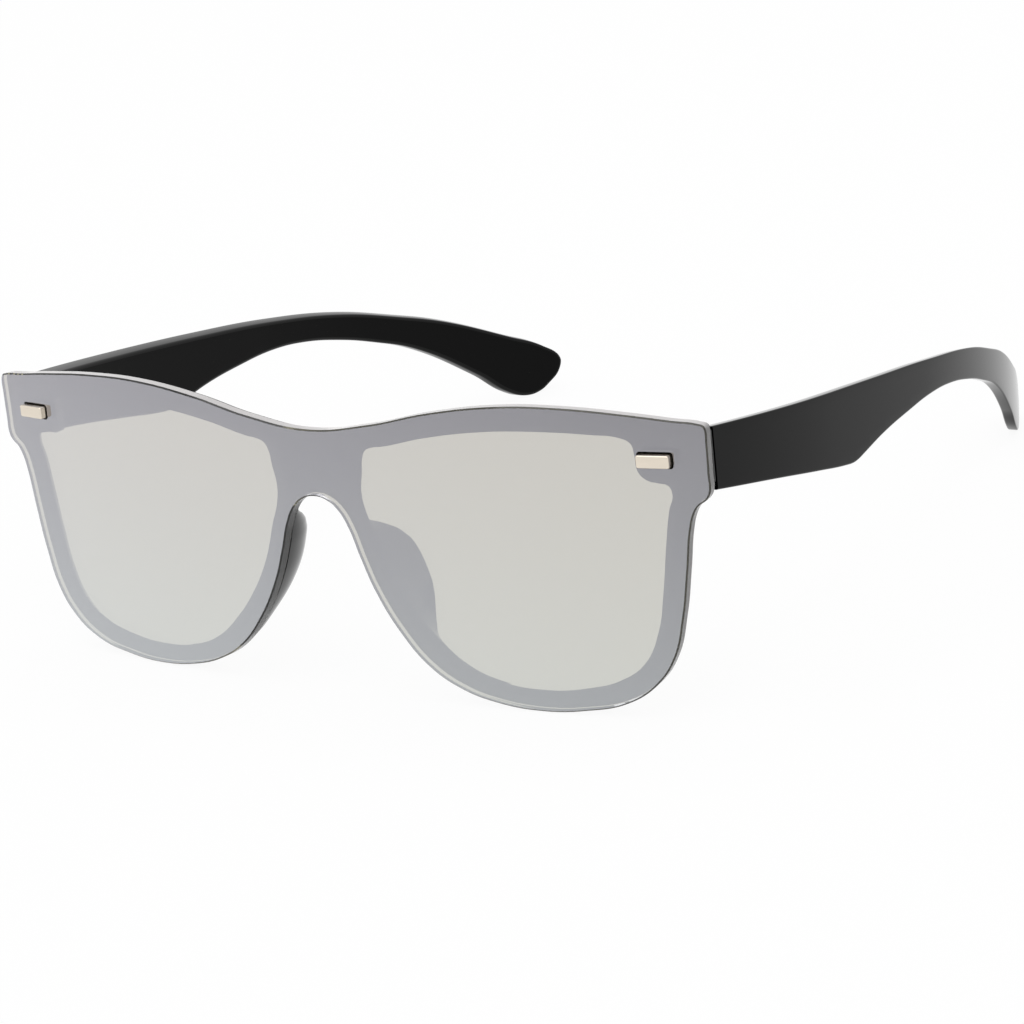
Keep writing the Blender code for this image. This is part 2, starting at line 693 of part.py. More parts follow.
def make_temple(name, parts, cutters, material):
    """Make a temple: a bent bar with a flat front end and a pocket for its leaf."""
    bm = plate([temple_loop()], TEMPLE_THICKNESS, TEMPLE_ROUNDING, ROUNDING_STEPS)
    cut = bmesh.ops.bisect_plane(
        bm, geom=bm.verts[:] + bm.edges[:] + bm.faces[:], dist=CUT_TOLERANCE,
        plane_co=(0, 0, 0), plane_no=(1, 0, 0), clear_inner=True,
    )
    rim = [part for part in cut["geom_cut"] if isinstance(part, bmesh.types.BMEdge)]
    bmesh.ops.contextual_create(bm, geom=rim)
    cut_strips(bm, [number * TEMPLE_STRIP for number in range(1, TEMPLE_STRIPS)])
    bend_temple(bm)
    temple = new_object(name, store(bm, name), parts, material)
    pocket = temple_leaf_plate("temple_pocket", SEAT_GAP, CUT_OVERRUN, cutters)
    pocket.data.transform(fold_axis_place(1))
    cut_out(temple, pocket)
    return temple


# Putting it together
def fold_axis_place(side):
    """Return where a temple's fold axis is on the upright glasses."""
    return Matrix.Translation((side * HINGE_AXIS_X, HINGE_AXIS_Y, RIVET_HEIGHT))


def mirror_mesh(item):
    """Turn a left-hand piece into a right-hand one."""
    item.data.transform(Matrix.Diagonal((-1, 1, 1, 1)))
    item.data.flip_normals()


def make_side(side_name, side, parts, cutters, materials):
    """Make what one side holds: rivet, hinge, screw and temple. Return them by name."""
    rivet = make_rivet("rivet_" + side_name, side, parts, cutters, materials["pale_metal"])
    pieces = {
        "front_leaf": make_front_leaf("hinge_front_leaf_" + side_name, parts, cutters),
        "temple_leaf": make_temple_leaf("hinge_temple_leaf_" + side_name, parts, cutters),
        "screw": make_screw("hinge_screw_" + side_name, parts),
    }
    for piece in pieces.values():
        piece.data.materials.clear()
        piece.data.materials.append(materials["steel"])
        piece.data.transform(fold_axis_place(1))
    pieces["temple"] = make_temple("temple_" + side_name, parts, cutters, materials["satin_black"])
    if side < 0:
        for piece in pieces.values():
            mirror_mesh(piece)
    pieces["rivet"] = rivet
    return pieces


def world_points(items):
    """Return the points of some objects on the upright glasses."""
    return [vertex.co.copy() for item in items for vertex in item.data.vertices]


def lowest_after(points, tilt):
    """Return the lowest height of some points once the glasses are tipped back."""
    return min(point.z * math.cos(tilt) - point.y * math.sin(tilt) for point in points)


def resting_tilt(front_points, tip_points):
    """Return the tilt at which the lens and the temple tips touch the ground together."""
    low, high = 0.0, STEEPEST_TILT
    for _ in range(SETTLE_STEPS):
        middle = (low + high) / 2
        if lowest_after(tip_points, middle) > lowest_after(front_points, middle):
            low = middle
        else:
            high = middle
    return (low + high) / 2


def stand_up(fixed, moving, parts):
    """Tip the glasses back onto their tips and hang each temple on its fold axis."""
    front = world_points(fixed)
    tips = world_points([piece for pair in moving.values() for piece in pair])
    tilt = resting_tilt(front, tips)
    depths = [p.y * math.cos(tilt) + p.z * math.sin(tilt) for p in front + tips]
    stand = new_empty("stand", parts)
    stand.rotation_euler.x = -tilt
    stand.location = (0, -(min(depths) + max(depths)) / 2, -lowest_after(front, tilt))
    for piece in fixed:
        piece.parent = stand
    for side_name, side in SIDES:
        axis = new_empty("fold_axis_" + side_name, parts, stand)
        axis.matrix_basis = fold_axis_place(side)
        for piece in moving[side_name]:
            piece.data.transform(fold_axis_place(side).inverted())
            piece.parent = axis


def build():
    """Build the sunglasses."""
    clear_scene()
    parts = new_collection("sunglasses")
    cutters = new_collection("cutters")
    materials = {
        "mirror": finish("mirror", MIRROR_FINISH),
        "gloss_black": finish("gloss_black", GLOSS_BLACK_FINISH),
        "satin_black": finish("satin_black", SATIN_BLACK_FINISH),
        "pale_metal": finish("pale_metal", PALE_METAL_FINISH),
        "steel": finish("steel", STEEL_FINISH),
    }
    lens = make_lens(parts, materials["mirror"])
    frame = make_frame(parts, cutters, materials["gloss_black"])
    fixed = [lens, frame]
    moving = {}
    for side_name, side in SIDES:
        pieces = make_side(side_name, side, parts, cutters, materials)
        fixed += [pieces["rivet"], pieces["front_leaf"], pieces["screw"]]
        moving[side_name] = [pieces["temple"], pieces["temple_leaf"]]
    for item in fixed + moving["left"] + moving["right"]:
        shade(item)
    stand_up(fixed, moving, parts)


build()
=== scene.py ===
"""Looks of one-piece mirrored lens sunglasses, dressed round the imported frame.

The pieces are drawn on the upright glasses first: X to the wearer's left, Y back along
the temples, Z up from the lowest point of the lens. The frame's own hinge axis then gives
the tilt at which the glasses stand on the ground. Lengths are metres.
"""

import json
import math

import bmesh
import bpy
import numpy as np
from mathutils import Matrix, Vector
from mathutils.geometry import delaunay_2d_cdt


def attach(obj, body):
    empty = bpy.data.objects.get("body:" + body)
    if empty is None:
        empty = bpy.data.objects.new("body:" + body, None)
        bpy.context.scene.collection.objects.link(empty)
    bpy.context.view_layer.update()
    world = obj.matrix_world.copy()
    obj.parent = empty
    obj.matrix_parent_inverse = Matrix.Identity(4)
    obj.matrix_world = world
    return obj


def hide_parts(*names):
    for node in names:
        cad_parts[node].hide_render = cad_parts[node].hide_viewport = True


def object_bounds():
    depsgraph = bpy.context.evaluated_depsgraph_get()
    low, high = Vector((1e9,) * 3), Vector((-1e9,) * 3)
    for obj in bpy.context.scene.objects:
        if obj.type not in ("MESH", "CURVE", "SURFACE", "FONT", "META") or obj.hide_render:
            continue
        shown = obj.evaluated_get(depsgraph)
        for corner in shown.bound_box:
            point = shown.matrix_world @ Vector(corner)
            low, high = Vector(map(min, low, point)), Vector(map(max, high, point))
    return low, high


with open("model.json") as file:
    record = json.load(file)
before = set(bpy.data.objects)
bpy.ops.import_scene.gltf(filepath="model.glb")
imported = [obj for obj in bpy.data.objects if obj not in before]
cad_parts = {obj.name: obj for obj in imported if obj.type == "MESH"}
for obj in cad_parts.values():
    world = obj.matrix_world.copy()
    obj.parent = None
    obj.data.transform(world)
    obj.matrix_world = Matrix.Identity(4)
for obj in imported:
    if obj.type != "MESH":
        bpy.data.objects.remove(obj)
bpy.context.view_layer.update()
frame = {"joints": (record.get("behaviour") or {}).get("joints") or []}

# Shared clearance between pieces that touch, and the overrun of a cutter
SEAT_GAP = 0.0003
CUT_OVERRUN = 0.0010
MITRE_SHARE = 0.5

# One-piece lens
LENS_WIDTH = 0.1450
LENS_HEIGHT = 0.0504
LENS_THICKNESS = 0.0020
LENS_FRONT_RADIUS = 0.4000
LENS_CHAMFER = 0.00025
HALF_WIDTH = LENS_WIDTH / 2
LENS_EDGE_SHARES = (
    (0.000, 0.885), (0.175, 0.915), (0.334, 0.964), (0.512, 0.996), (0.672, 0.998),
    (0.828, 0.983), (0.932, 0.968), (0.990, 0.960), (1.004, 0.953), (1.008, 0.938),
    (1.008, 0.900), (1.007, 0.800), (1.006, 0.745), (0.997, 0.722), (0.976, 0.700),
    (0.963, 0.671), (0.953, 0.625), (0.938, 0.492), (0.919, 0.343), (0.889, 0.204),
    (0.841, 0.113), (0.766, 0.046), (0.662, 0.012), (0.552, 0.000), (0.434, 0.016),
    (0.346, 0.052), (0.269, 0.115), (0.199, 0.222), (0.141, 0.357), (0.110, 0.466),
    (0.086, 0.562), (0.063, 0.617), (0.034, 0.650), (0.000, 0.661),
)

# Moulded frame behind the lens
FRAME_THICKNESS = 0.0014
FRAME_INSET = 0.0003
FRAME_LIP = 0.0002
FRAME_CHAMFER = 0.0011
FRAME_FRONT = LENS_THICKNESS + SEAT_GAP
FRAME_BACK = FRAME_FRONT + FRAME_THICKNESS
EYE_EDGE_SHARES = (
    (0.128, 0.750), (0.132, 0.790), (0.143, 0.820), (0.165, 0.833), (0.192, 0.838),
    (0.308, 0.875), (0.461, 0.905), (0.601, 0.913), (0.735, 0.909), (0.794, 0.903),
    (0.822, 0.885), (0.829, 0.845), (0.832, 0.802), (0.848, 0.774), (0.877, 0.762),
    (0.902, 0.754), (0.910, 0.728), (0.899, 0.676), (0.884, 0.560), (0.868, 0.413),
    (0.848, 0.282), (0.809, 0.175), (0.748, 0.114), (0.662, 0.078), (0.552, 0.062),
    (0.441, 0.078), (0.360, 0.122), (0.293, 0.198), (0.226, 0.308), (0.177, 0.428),
    (0.147, 0.544), (0.125, 0.624), (0.120, 0.680),
)

# Nose pads moulded on the frame: the nose face is an arc that starts near the edge of
# the lens and ends in a round tip. Stations down the nose side are the share of the
# lens height and the share of the pad's full section.
PAD_REACH = 0.0085
PAD_CURVE_RADIUS = 0.0130
PAD_TIP_RADIUS = 0.00075
PAD_INSET = 0.0002
PAD_STEP = 0.00005
PAD_STATION_SHARES = (
    (0.602, 0.03), (0.578, 0.24), (0.546, 0.60), (0.506, 0.87), (0.460, 1.00),
    (0.413, 1.03), (0.363, 1.01), (0.317, 0.93), (0.272, 0.79), (0.226, 0.61),
    (0.183, 0.45), (0.135, 0.33), (0.096, 0.18), (0.070, 0.03),
)

# Rivets that hold the lens on the frame
RIVET_FROM_END = 0.0083
RIVET_FROM_TOP = 0.0079
RIVET_LENGTH = 0.0056
RIVET_BREADTH = 0.0021
RIVET_PROUD = 0.0013
RIVET_ROUNDING = 0.00035
RIVET_PIN_RADIUS = 0.0006
RIVET_PIN_LENGTH = 0.0008
SLOT_GAP = 0.00005
SLOT_ROUNDING = 0.00035
RIVET_X = HALF_WIDTH - RIVET_FROM_END
RIVET_HEIGHT = LENS_HEIGHT - RIVET_FROM_TOP

# Block behind each end of the frame that carries the hinge
END_BLOCK_DEPTH = 0.0011
END_BLOCK_WIDTH = 0.0105
END_BLOCK_HEIGHT = 0.0086
END_BLOCK_FROM_END = 0.0009
END_BLOCK_ROUNDING = 0.0004
END_BLOCK_SIDE = HALF_WIDTH - END_BLOCK_FROM_END

# Hinges: two knuckles on the front leaf, one on the temple leaf, and a screw
HINGE_AXIS_FROM_SIDE = 0.0054
HINGE_KNUCKLE_RADIUS = 0.0016
HINGE_KNUCKLE_HEIGHT = 0.0018
HINGE_ROUNDING = 0.00012
LEAF_THICKNESS = 0.0010
FRONT_LEAF_WIDTH = 0.0048
TEMPLE_LEAF_LENGTH = 0.0075
SCREW_RADIUS = 0.00065
SCREW_HEAD_RADIUS = 0.00125
SCREW_HEAD_HEIGHT = 0.0005
SCREW_SLOT_WIDTH = 0.0003
SCREW_SLOT_DEPTH = 0.0003
SCREW_SLOT_TURN = math.radians(25)
HINGE_AXIS_X = END_BLOCK_SIDE - HINGE_AXIS_FROM_SIDE
HINGE_HEIGHT = 3 * HINGE_KNUCKLE_HEIGHT + 2 * SEAT_GAP

# Temples, seen from above
TEMPLE_THICKNESS = 0.0036
TEMPLE_TIP_THICKNESS = 0.0022
TEMPLE_ROUNDING = 0.0004
TEMPLE_INNER_ROUNDING = 0.0008
TEMPLE_TOP_FALL = 0.0006
TEMPLE_WIDEST_OUT = 0.0006
TEMPLE_WIDEST_Y = 0.0420
TEMPLE_FRONT_BEND = 0.2000
TEMPLE_MIDDLE_BEND = 0.4700
TEMPLE_HOOK_Y = 0.0745
TEMPLE_HOOK_BEND = 0.2560
TEMPLE_WIDEST_X = END_BLOCK_SIDE + TEMPLE_WIDEST_OUT

# Temples, seen from the side
TEMPLE_LENGTH = 0.1339
TEMPLE_DROP = 0.0354
TEMPLE_RISE = 0.0044
TEMPLE_TOP = RIVET_HEIGHT + TEMPLE_RISE
TEMPLE_EDGE_SHARES = (
    (0.000, -0.004), (0.161, 0.050), (0.357, 0.114), (0.507, 0.173), (0.646, 0.257),
    (0.746, 0.360), (0.822, 0.453), (0.925, 0.628), (0.974, 0.721), (0.999, 0.812),
    (0.996, 0.892), (0.979, 0.955), (0.962, 0.992), (0.940, 0.997), (0.914, 0.955),
    (0.868, 0.815), (0.768, 0.576), (0.698, 0.475), (0.630, 0.401), (0.565, 0.354),
    (0.503, 0.339), (0.427, 0.359), (0.359, 0.392), (0.308, 0.434), (0.294, 0.446),
    (0.281, 0.451), (0.262, 0.444), (0.197, 0.403), (0.111, 0.348), (0.000, 0.285),
)

# How finely the surfaces are drawn
OUTLINE_STEP = 0.00045
CURVE_STEPS = 16
FACE_STEP = 0.0013
FACE_CLEAR_SHARE = 0.6
ROUND_STEPS = 6
PAD_LEVELS = 72
PAD_CURVE_STEPS = 20
FINE_SIDES = 64
MERGE_DISTANCE = 0.0000002
SMOOTH_ANGLE = math.radians(35)
SIDES = (("left", 1), ("right", -1))

# Finishes of the lens: its coating, its tinted plastic and its ground edge. A roughness
# runs between two limits.
# The coat's tint is its own. Its change from low to top, and the rise of its mirror share across and
# down, are painted reflection.
COAT_AND_PAINTED_REFLECTION_TOP_COLOUR = (0.80, 0.79, 0.86)
COAT_AND_PAINTED_REFLECTION_LOW_COLOUR = (0.78, 0.81, 0.84)
COAT_SHARE = 0.50
PAINTED_REFLECTION_PER_METRE_ACROSS = -0.95
PAINTED_REFLECTION_PER_METRE_UP = -3.2
COAT_ROUGHNESS = (0.010, 0.030)
LENS_IOR = 1.585
TINT_COLOUR = (0.29, 0.265, 0.155)
TINT_ROUGHNESS = (0.008, 0.025)
EDGE_COLOUR = (0.86, 0.83, 0.83)
EDGE_ROUGHNESS = (0.10, 0.20)
EDGE_DARK_SHARE = 0.95
# How much of the edge is made pale and opaque where it faces up and towards the ends: painted
# highlight and painted light.
TOP_PAINTED_LIGHT_SHARE = 0.65
END_PAINTED_LIGHT_SHARE = 0.12

# Black plastics: grey level, roughness, index of refraction and height of the grain
PLASTICS = {
    "gloss_black": (0.004, (0.06, 0.12), 1.45, 0.000002),
    "satin_black": (0.002, (0.04, 0.08), 1.25, 0.000001),
    # The temple's inner face gets a darker, less reflective copy of the black plastic: painted shade.
    "inner_painted_shade_black": (0.001, (0.10, 0.16), 1.18, 0.000002),
}
CLOUD_PALE_SHARE = 1.4

# Metals: colour, roughness and how the brushing is stretched
METALS = {
    "pale_metal": ((0.81, 0.73, 0.62), (0.14, 0.26), (0.15, 1, 1)),
    "steel": ((0.56, 0.56, 0.57), (0.22, 0.38), (1, 1, 0.15)),
    "bright_steel": ((0.62, 0.62, 0.63), (0.16, 0.28), (1, 1, 1)),
}
BRUSHING_DARK_SHARE = 0.9
BRUSHING_HEIGHT = 0.000004

# How fine each pattern is, as a noise scale to the metre
COAT_SMEAR_SCALE = 220.0
TINT_SMEAR_SCALE = 300.0
GRIND_SCALE = 2600.0
GRIND_STRETCH = (1, 1, 0.2)
CLOUD_SCALE = 90.0
MARK_SCALE = 500.0
GRAIN_SCALE = 5200.0
BRUSHING_SCALE = 900.0

# Camera, on the upright glasses: where it looks, from which side, and how far away
CAMERA_TARGET = (0.039603, 0.0, 0.0338)
CAMERA_AZIMUTH = math.radians(36.413)
CAMERA_ELEVATION = math.radians(15.573)
CAMERA_ROLL = math.radians(-5.923)
CAMERA_DISTANCE = 0.58024
CAMERA_LENS_MM = 130.08
CAMERA_SENSOR_MM = 36.0
CAMERA_NEAREST = 0.01

# Studio
FLOOR_RADIUS = 6.0
FLOOR_GREY = 0.95
AMBIENT_LEVEL = 0.70
WHITE_LEVEL = 1.0
FLOOR_FILL_SHARE = 0.93
LAMP_SIZE = 1.6
LAMP_HEIGHT = 1.3
LAMP_POWER = 7.6


# Curves and small helpers
def arc_point(along, behind):
    """Return a point on the curved lens as X and Y."""
    angle = along / LENS_FRONT_RADIUS
    radius = LENS_FRONT_RADIUS - behind
    return Vector((radius * math.sin(angle), LENS_FRONT_RADIUS - radius * math.cos(angle)))


END_BLOCK_BACK = arc_point(HINGE_AXIS_X, FRAME_BACK).y + END_BLOCK_DEPTH
TEMPLE_FRONT_Y = END_BLOCK_BACK + SEAT_GAP
HINGE_AXIS_Y = TEMPLE_FRONT_Y + HINGE_KNUCKLE_RADIUS


def standing_place():
    """Return how the upright glasses are tipped back, from the left hinge of the frame."""
    hinge = next(joint for joint in frame["joints"] if joint["child"] == "left_temple")
    up = Vector(hinge["axis"]).normalized()
    turn = Matrix(((1, 0, 0), (0, up.z, up.y), (0, -up.y, up.z)))
    hinge_place = Vector((HINGE_AXIS_X, HINGE_AXIS_Y, RIVET_HEIGHT))
    return Matrix.Translation(Vector(hinge["pos_m"]) - turn @ hinge_place) @ turn.to_4x4()


STANDING = standing_place()


def new_mesh(bm, name):
    """Turn a bmesh into a mesh with its faces pointing out."""
    bmesh.ops.recalc_face_normals(bm, faces=bm.faces)
    mesh = bpy.data.meshes.new(name)
    bm.to_mesh(mesh)
    bm.free()
    return mesh


def new_object(name, mesh, *materials):
    """Put a mesh in the scene as a named object with its materials."""
    item = bpy.data.objects.new(name, mesh)
    bpy.context.scene.collection.objects.link(item)
    for material in materials:
        mesh.materials.append(material)
    return item


def make_real(item):
    """Replace an object's mesh by what its modifiers make of it."""
    bpy.context.view_layer.update()
    solid = item.evaluated_get(bpy.context.evaluated_depsgraph_get())
    mesh = bpy.data.meshes.new_from_object(solid)
    item.modifiers.clear()
    item.data = mesh


def combine(item, other, operation):
    """Join another object to this one or cut it out, and remove the other."""
    step = item.modifiers.new(operation.lower(), "BOOLEAN")
    step.operation = operation
    step.object = other
    step.solver = "EXACT"
    make_real(item)
    bpy.data.objects.remove(other, do_unlink=True)


def round_edges(item, width, segments=3):
    """Round an object's real corners."""
    bevel = item.modifiers.new("round", "BEVEL")
    bevel.width = width
    bevel.segments = segments
    bevel.limit_method = "ANGLE"
    bevel.angle_limit = SMOOTH_ANGLE
    make_real(item)


def box_mesh(name, low, high):
    """Make a box between two corners."""
    bm = bmesh.new()
    bmesh.ops.create_cube(bm, size=1)
    bmesh.ops.scale(bm, vec=[b - a for a, b in zip(low, high)], verts=bm.verts)
    bmesh.ops.translate(bm, vec=[(a + b) / 2 for a, b in zip(low, high)], verts=bm.verts)
    return new_mesh(bm, name)


def rod_mesh(name, radius, low, high):
    """Make an upright cylinder on the Z axis between two heights."""
    bm = bmesh.new()
    bmesh.ops.create_cone(
        bm, cap_ends=True, segments=FINE_SIDES, radius1=radius, radius2=radius, depth=high - low,
    )
    bmesh.ops.translate(bm, vec=(0, 0, (low + high) / 2), verts=bm.verts)
    return new_mesh(bm, name)


# Outlines
def smooth_line(points, closed=True):
    """Return the smooth line through some points, as many close points."""
    curve = bpy.data.curves.new("outline", "CURVE")
    curve.resolution_u = CURVE_STEPS
    spline = curve.splines.new("BEZIER")
    spline.bezier_points.add(len(points) - 1)
    spline.use_cyclic_u = closed
    for knot, point in zip(spline.bezier_points, points):
        knot.co = (*point, 0.0)
        knot.handle_left_type = knot.handle_right_type = "AUTO"
    guide = new_object("outline", curve)
    bpy.context.view_layer.update()
    solid = guide.evaluated_get(bpy.context.evaluated_depsgraph_get())
    mesh = bpy.data.meshes.new_from_object(solid)
    bpy.data.objects.remove(guide, do_unlink=True)
    return np.array([vertex.co.xy for vertex in mesh.vertices])


def spread_evenly(points, step):
    """Return points spread evenly along a closed line."""
    ring = np.vstack([points, points[:1]])
    lengths = np.hypot(*np.diff(ring, axis=0).T)
    places = np.concatenate([[0], np.cumsum(lengths)])
    wanted = np.linspace(0, places[-1], int(places[-1] / step), endpoint=False)
    return np.column_stack([np.interp(wanted, places, ring[:, axis]) for axis in (0, 1)])


def inset_loop(points, inset):
    """Move a closed loop, drawn clockwise, inwards by a distance."""
    before = points - np.roll(points, 1, axis=0)
    after = np.roll(points, -1, axis=0) - points
    before /= np.hypot(*before.T)[:, None]
    after /= np.hypot(*after.T)[:, None]
    total = before + after
    inward = np.column_stack([total[:, 1], -total[:, 0]])
    inward /= np.hypot(*inward.T)[:, None]
    square = np.column_stack([after[:, 1], -after[:, 0]])
    mitre = np.maximum((inward * square).sum(axis=1), MITRE_SHARE)
    return points + inward * inset / mitre[:, None]


def full_loop(shares):
    """Return a whole edge, clockwise, from the shares of its left half."""
    half = [(x * HALF_WIDTH, z * LENS_HEIGHT) for x, z in shares]
    mirrored = [(-x, z) for x, z in reversed(half[1:-1])]
    return spread_evenly(smooth_line(half + mirrored), OUTLINE_STEP)


def eye_loop(side):
    """Return one eye opening, clockwise."""
    points = [(x * HALF_WIDTH, z * LENS_HEIGHT) for x, z in EYE_EDGE_SHARES]
    if side < 0:
        points = [(-x, z) for x, z in reversed(points)]
    return spread_evenly(smooth_line(points), OUTLINE_STEP)


def slot_loop(side):
    """Return the slot in the lens that a rivet passes through, clockwise."""
    reach = Vector((RIVET_LENGTH / 2 + SLOT_GAP, RIVET_BREADTH / 2 + SLOT_GAP))
    points = []
    for turn in range(4):
        sign_x = (1, 1, -1, -1)[turn]
        sign_z = (1, -1, -1, 1)[turn]
        for step in range(ROUND_STEPS + 1):
            angle = math.pi / 2 * (1 - turn - step / ROUND_STEPS)
            x = sign_x * (reach.x - SLOT_ROUNDING) + SLOT_ROUNDING * math.cos(angle)
            z = sign_z * (reach.y - SLOT_ROUNDING) + SLOT_ROUNDING * math.sin(angle)
            points.append((side * RIVET_X + x, RIVET_HEIGHT + z))
    return np.array(points)


def inside(points, loop):
    """Tell for each point whether it lies inside a closed loop."""
    x, z = points[:, :1], points[:, 1:]
    x1, z1 = loop.T
    x2, z2 = np.roll(loop, -1, axis=0).T
    crosses = (z1 <= z) != (z2 <= z)
    rise = np.where(z2 == z1, 1.0, z2 - z1)
    return (crosses & (x < x1 + (z - z1) / rise * (x2 - x1))).sum(axis=1) % 2 == 1


def between(points, loops):
    """Tell for each point whether it is inside the first loop and outside the others."""
    found = inside(points, loops[0])
    for hole in loops[1:]:
        found &= ~inside(points, hole)
    return found


def face_grid(loops, step):
    """Return an even net of points between some loops, clear of their edges."""
    low, high = loops[0].min(axis=0), loops[0].max(axis=0)
    row_step = step * math.sin(math.pi / 3)
    rows = []
    for number, z in enumerate(np.arange(low[1], high[1], row_step)):
        x = np.arange(low[0] + (number % 2) * step / 2, high[0], step)
        rows.append(np.column_stack([x, np.full_like(x, z)]))
    net = np.vstack(rows)
    net = net[between(net, loops)]
    edge = np.vstack(loops)
    nearest = np.array([np.hypot(*(edge - point).T).min() for point in net])
    return net[nearest > step * FACE_CLEAR_SHARE]


# Plates drawn flat, as the place along, the height and the depth behind the front face
def add_cap(bm, rings, step, slot):
    """Fill a flat face between the outer ring and the rings of its holes."""
    corners = [vertex for ring in rings for vertex in ring]
    loops = [np.array([vertex.co.xy for vertex in ring]) for ring in rings]
    edges, first = [], 0
    for ring in rings:
        edges += [(first + i, first + (i + 1) % len(ring)) for i in range(len(ring))]
        first += len(ring)
    depth = corners[0].co.z
    points = [vertex.co.xy for vertex in corners]
    points += [Vector(point) for point in face_grid(loops, step)]
    places, _, faces, sources, _, _ = delaunay_2d_cdt(points, edges, [], 1, MERGE_DISTANCE)
    vertices = []
    for place, source in zip(places, sources):
        on_ring = [index for index in source if index < len(corners)]
        vertices.append(corners[on_ring[0]] if on_ring else bm.verts.new((*place, depth)))
    flat = np.array([place[:] for place in places])
    centres = flat[np.array(faces)].mean(axis=1)
    for face, wanted in zip(faces, between(centres, loops)):
        if wanted:
            bm.faces.new([vertices[index] for index in face]).material_index = slot


def plate(outer, holes, profile, steps, slots=(0, 0, 0, 0, 0), hole_slot=0):
    """Make a plate from loops and the profile of its edge, from front face to back face.

    The slots are the materials of the front face, the first part of the edge, its middle,
    its last part and the back face.
    """
    bm = bmesh.new()
    fronts, backs = [], []
    for loop, sense in [(outer, 1)] + [(hole, -1) for hole in holes]:
        rings = []
        for inset, depth in profile:
            ring = [bm.verts.new((x, z, depth)) for x, z in inset_loop(loop, sense * inset)]
            rings.append(ring)
        for number, (upper, lower) in enumerate(zip(rings, rings[1:])):
            side_slot = slots[1 + (number > 0) + (number == len(profile) - 2)]
            for index in range(len(upper)):
                after = (index + 1) % len(upper)
                corners = (upper[index], upper[after], lower[after], lower[index])
                bm.faces.new(corners).material_index = side_slot if sense > 0 else hole_slot
        fronts.append(rings[0])
        backs.append(rings[-1])
    add_cap(bm, fronts, steps[0], slots[0])
    add_cap(bm, backs, steps[1], slots[4])
    return bm


def quarter_round(radius, depth, outward):
    """Return the rounding of an edge: from a face out to the side, or back in again."""
    steps = [step / ROUND_STEPS * math.pi / 2 for step in range(ROUND_STEPS + 1)]
    if outward:
        return [(radius * (1 - math.sin(a)), depth + radius * (1 - math.cos(a))) for a in steps]
    return [(radius * (1 - math.cos(a)), depth + radius * math.sin(a)) for a in steps]


def bend_on_lens(bm, behind=0.0):
    """Bend a flat plate onto the curve of the lens, some way behind its front face."""
    for vertex in bm.verts:
        along, height, depth = vertex.co
        place = arc_point(along, behind + depth)
        vertex.co = (place.x, place.y, height)


# Materials
def new_material(name):
    """Make a material and return it with its nodes, its links and its Principled shader."""
    material = bpy.data.materials.new(name)
    material.use_nodes = True
    nodes = material.node_tree.nodes
    return material, nodes, material.node_tree.links, nodes["Principled BSDF"]


def object_noise(nodes, links, scale, detail=3.0, stretch=(1, 1, 1)):
    """Return a noise that is fixed to the piece."""
    place = nodes.new("ShaderNodeTexCoord")
    mapping = nodes.new("ShaderNodeMapping")
    mapping.inputs["Scale"].default_value = stretch
    noise = nodes.new("ShaderNodeTexNoise")
    noise.inputs["Scale"].default_value = scale
    noise.inputs["Detail"].default_value = detail
    links.new(place.outputs["Object"], mapping.inputs["Vector"])
    links.new(mapping.outputs["Vector"], noise.inputs["Vector"])
    return noise.outputs["Fac"]


def maths(nodes, links, operation, *values):
    """Work out a number from sockets and plain numbers."""
    node = nodes.new("ShaderNodeMath")
    node.operation = operation
    for socket, value in zip(node.inputs, values):
        if isinstance(value, bpy.types.NodeSocket):
            links.new(value, socket)
        else:
            socket.default_value = value
    return node.outputs["Value"]


def split_axes(nodes, links, vector):
    """Return the outputs that hold a vector's X, Y and Z."""
    split = nodes.new("ShaderNodeSeparateXYZ")
    links.new(vector, split.inputs["Vector"])
    return split.outputs


def ranged(nodes, links, value, low, high):
    """Spread a value that runs from 0 to 1 between two limits."""
    spread = nodes.new("ShaderNodeMapRange")
    spread.inputs["To Min"].default_value = low
    spread.inputs["To Max"].default_value = high
    links.new(value, spread.inputs["Value"])
    return spread.outputs["Result"]


def two_colours(nodes, links, value, first, second):
    """Run from one colour to another as a value goes from 0 to 1."""
    mix = nodes.new("ShaderNodeMix")
    mix.data_type = "RGBA"
    mix.inputs["A"].default_value = (*first, 1)
    mix.inputs["B"].default_value = (*second, 1)
    links.new(value, mix.inputs["Factor"])
    return mix.outputs["Result"]


def add_bump(nodes, links, shader, height, distance):
    """Raise and lower a surface by a height that runs from 0 to 1."""
    bump = nodes.new("ShaderNodeBump")
    bump.inputs["Distance"].default_value = distance
    links.new(height, bump.inputs["Height"])
    links.new(bump.outputs["Normal"], shader.inputs["Normal"])


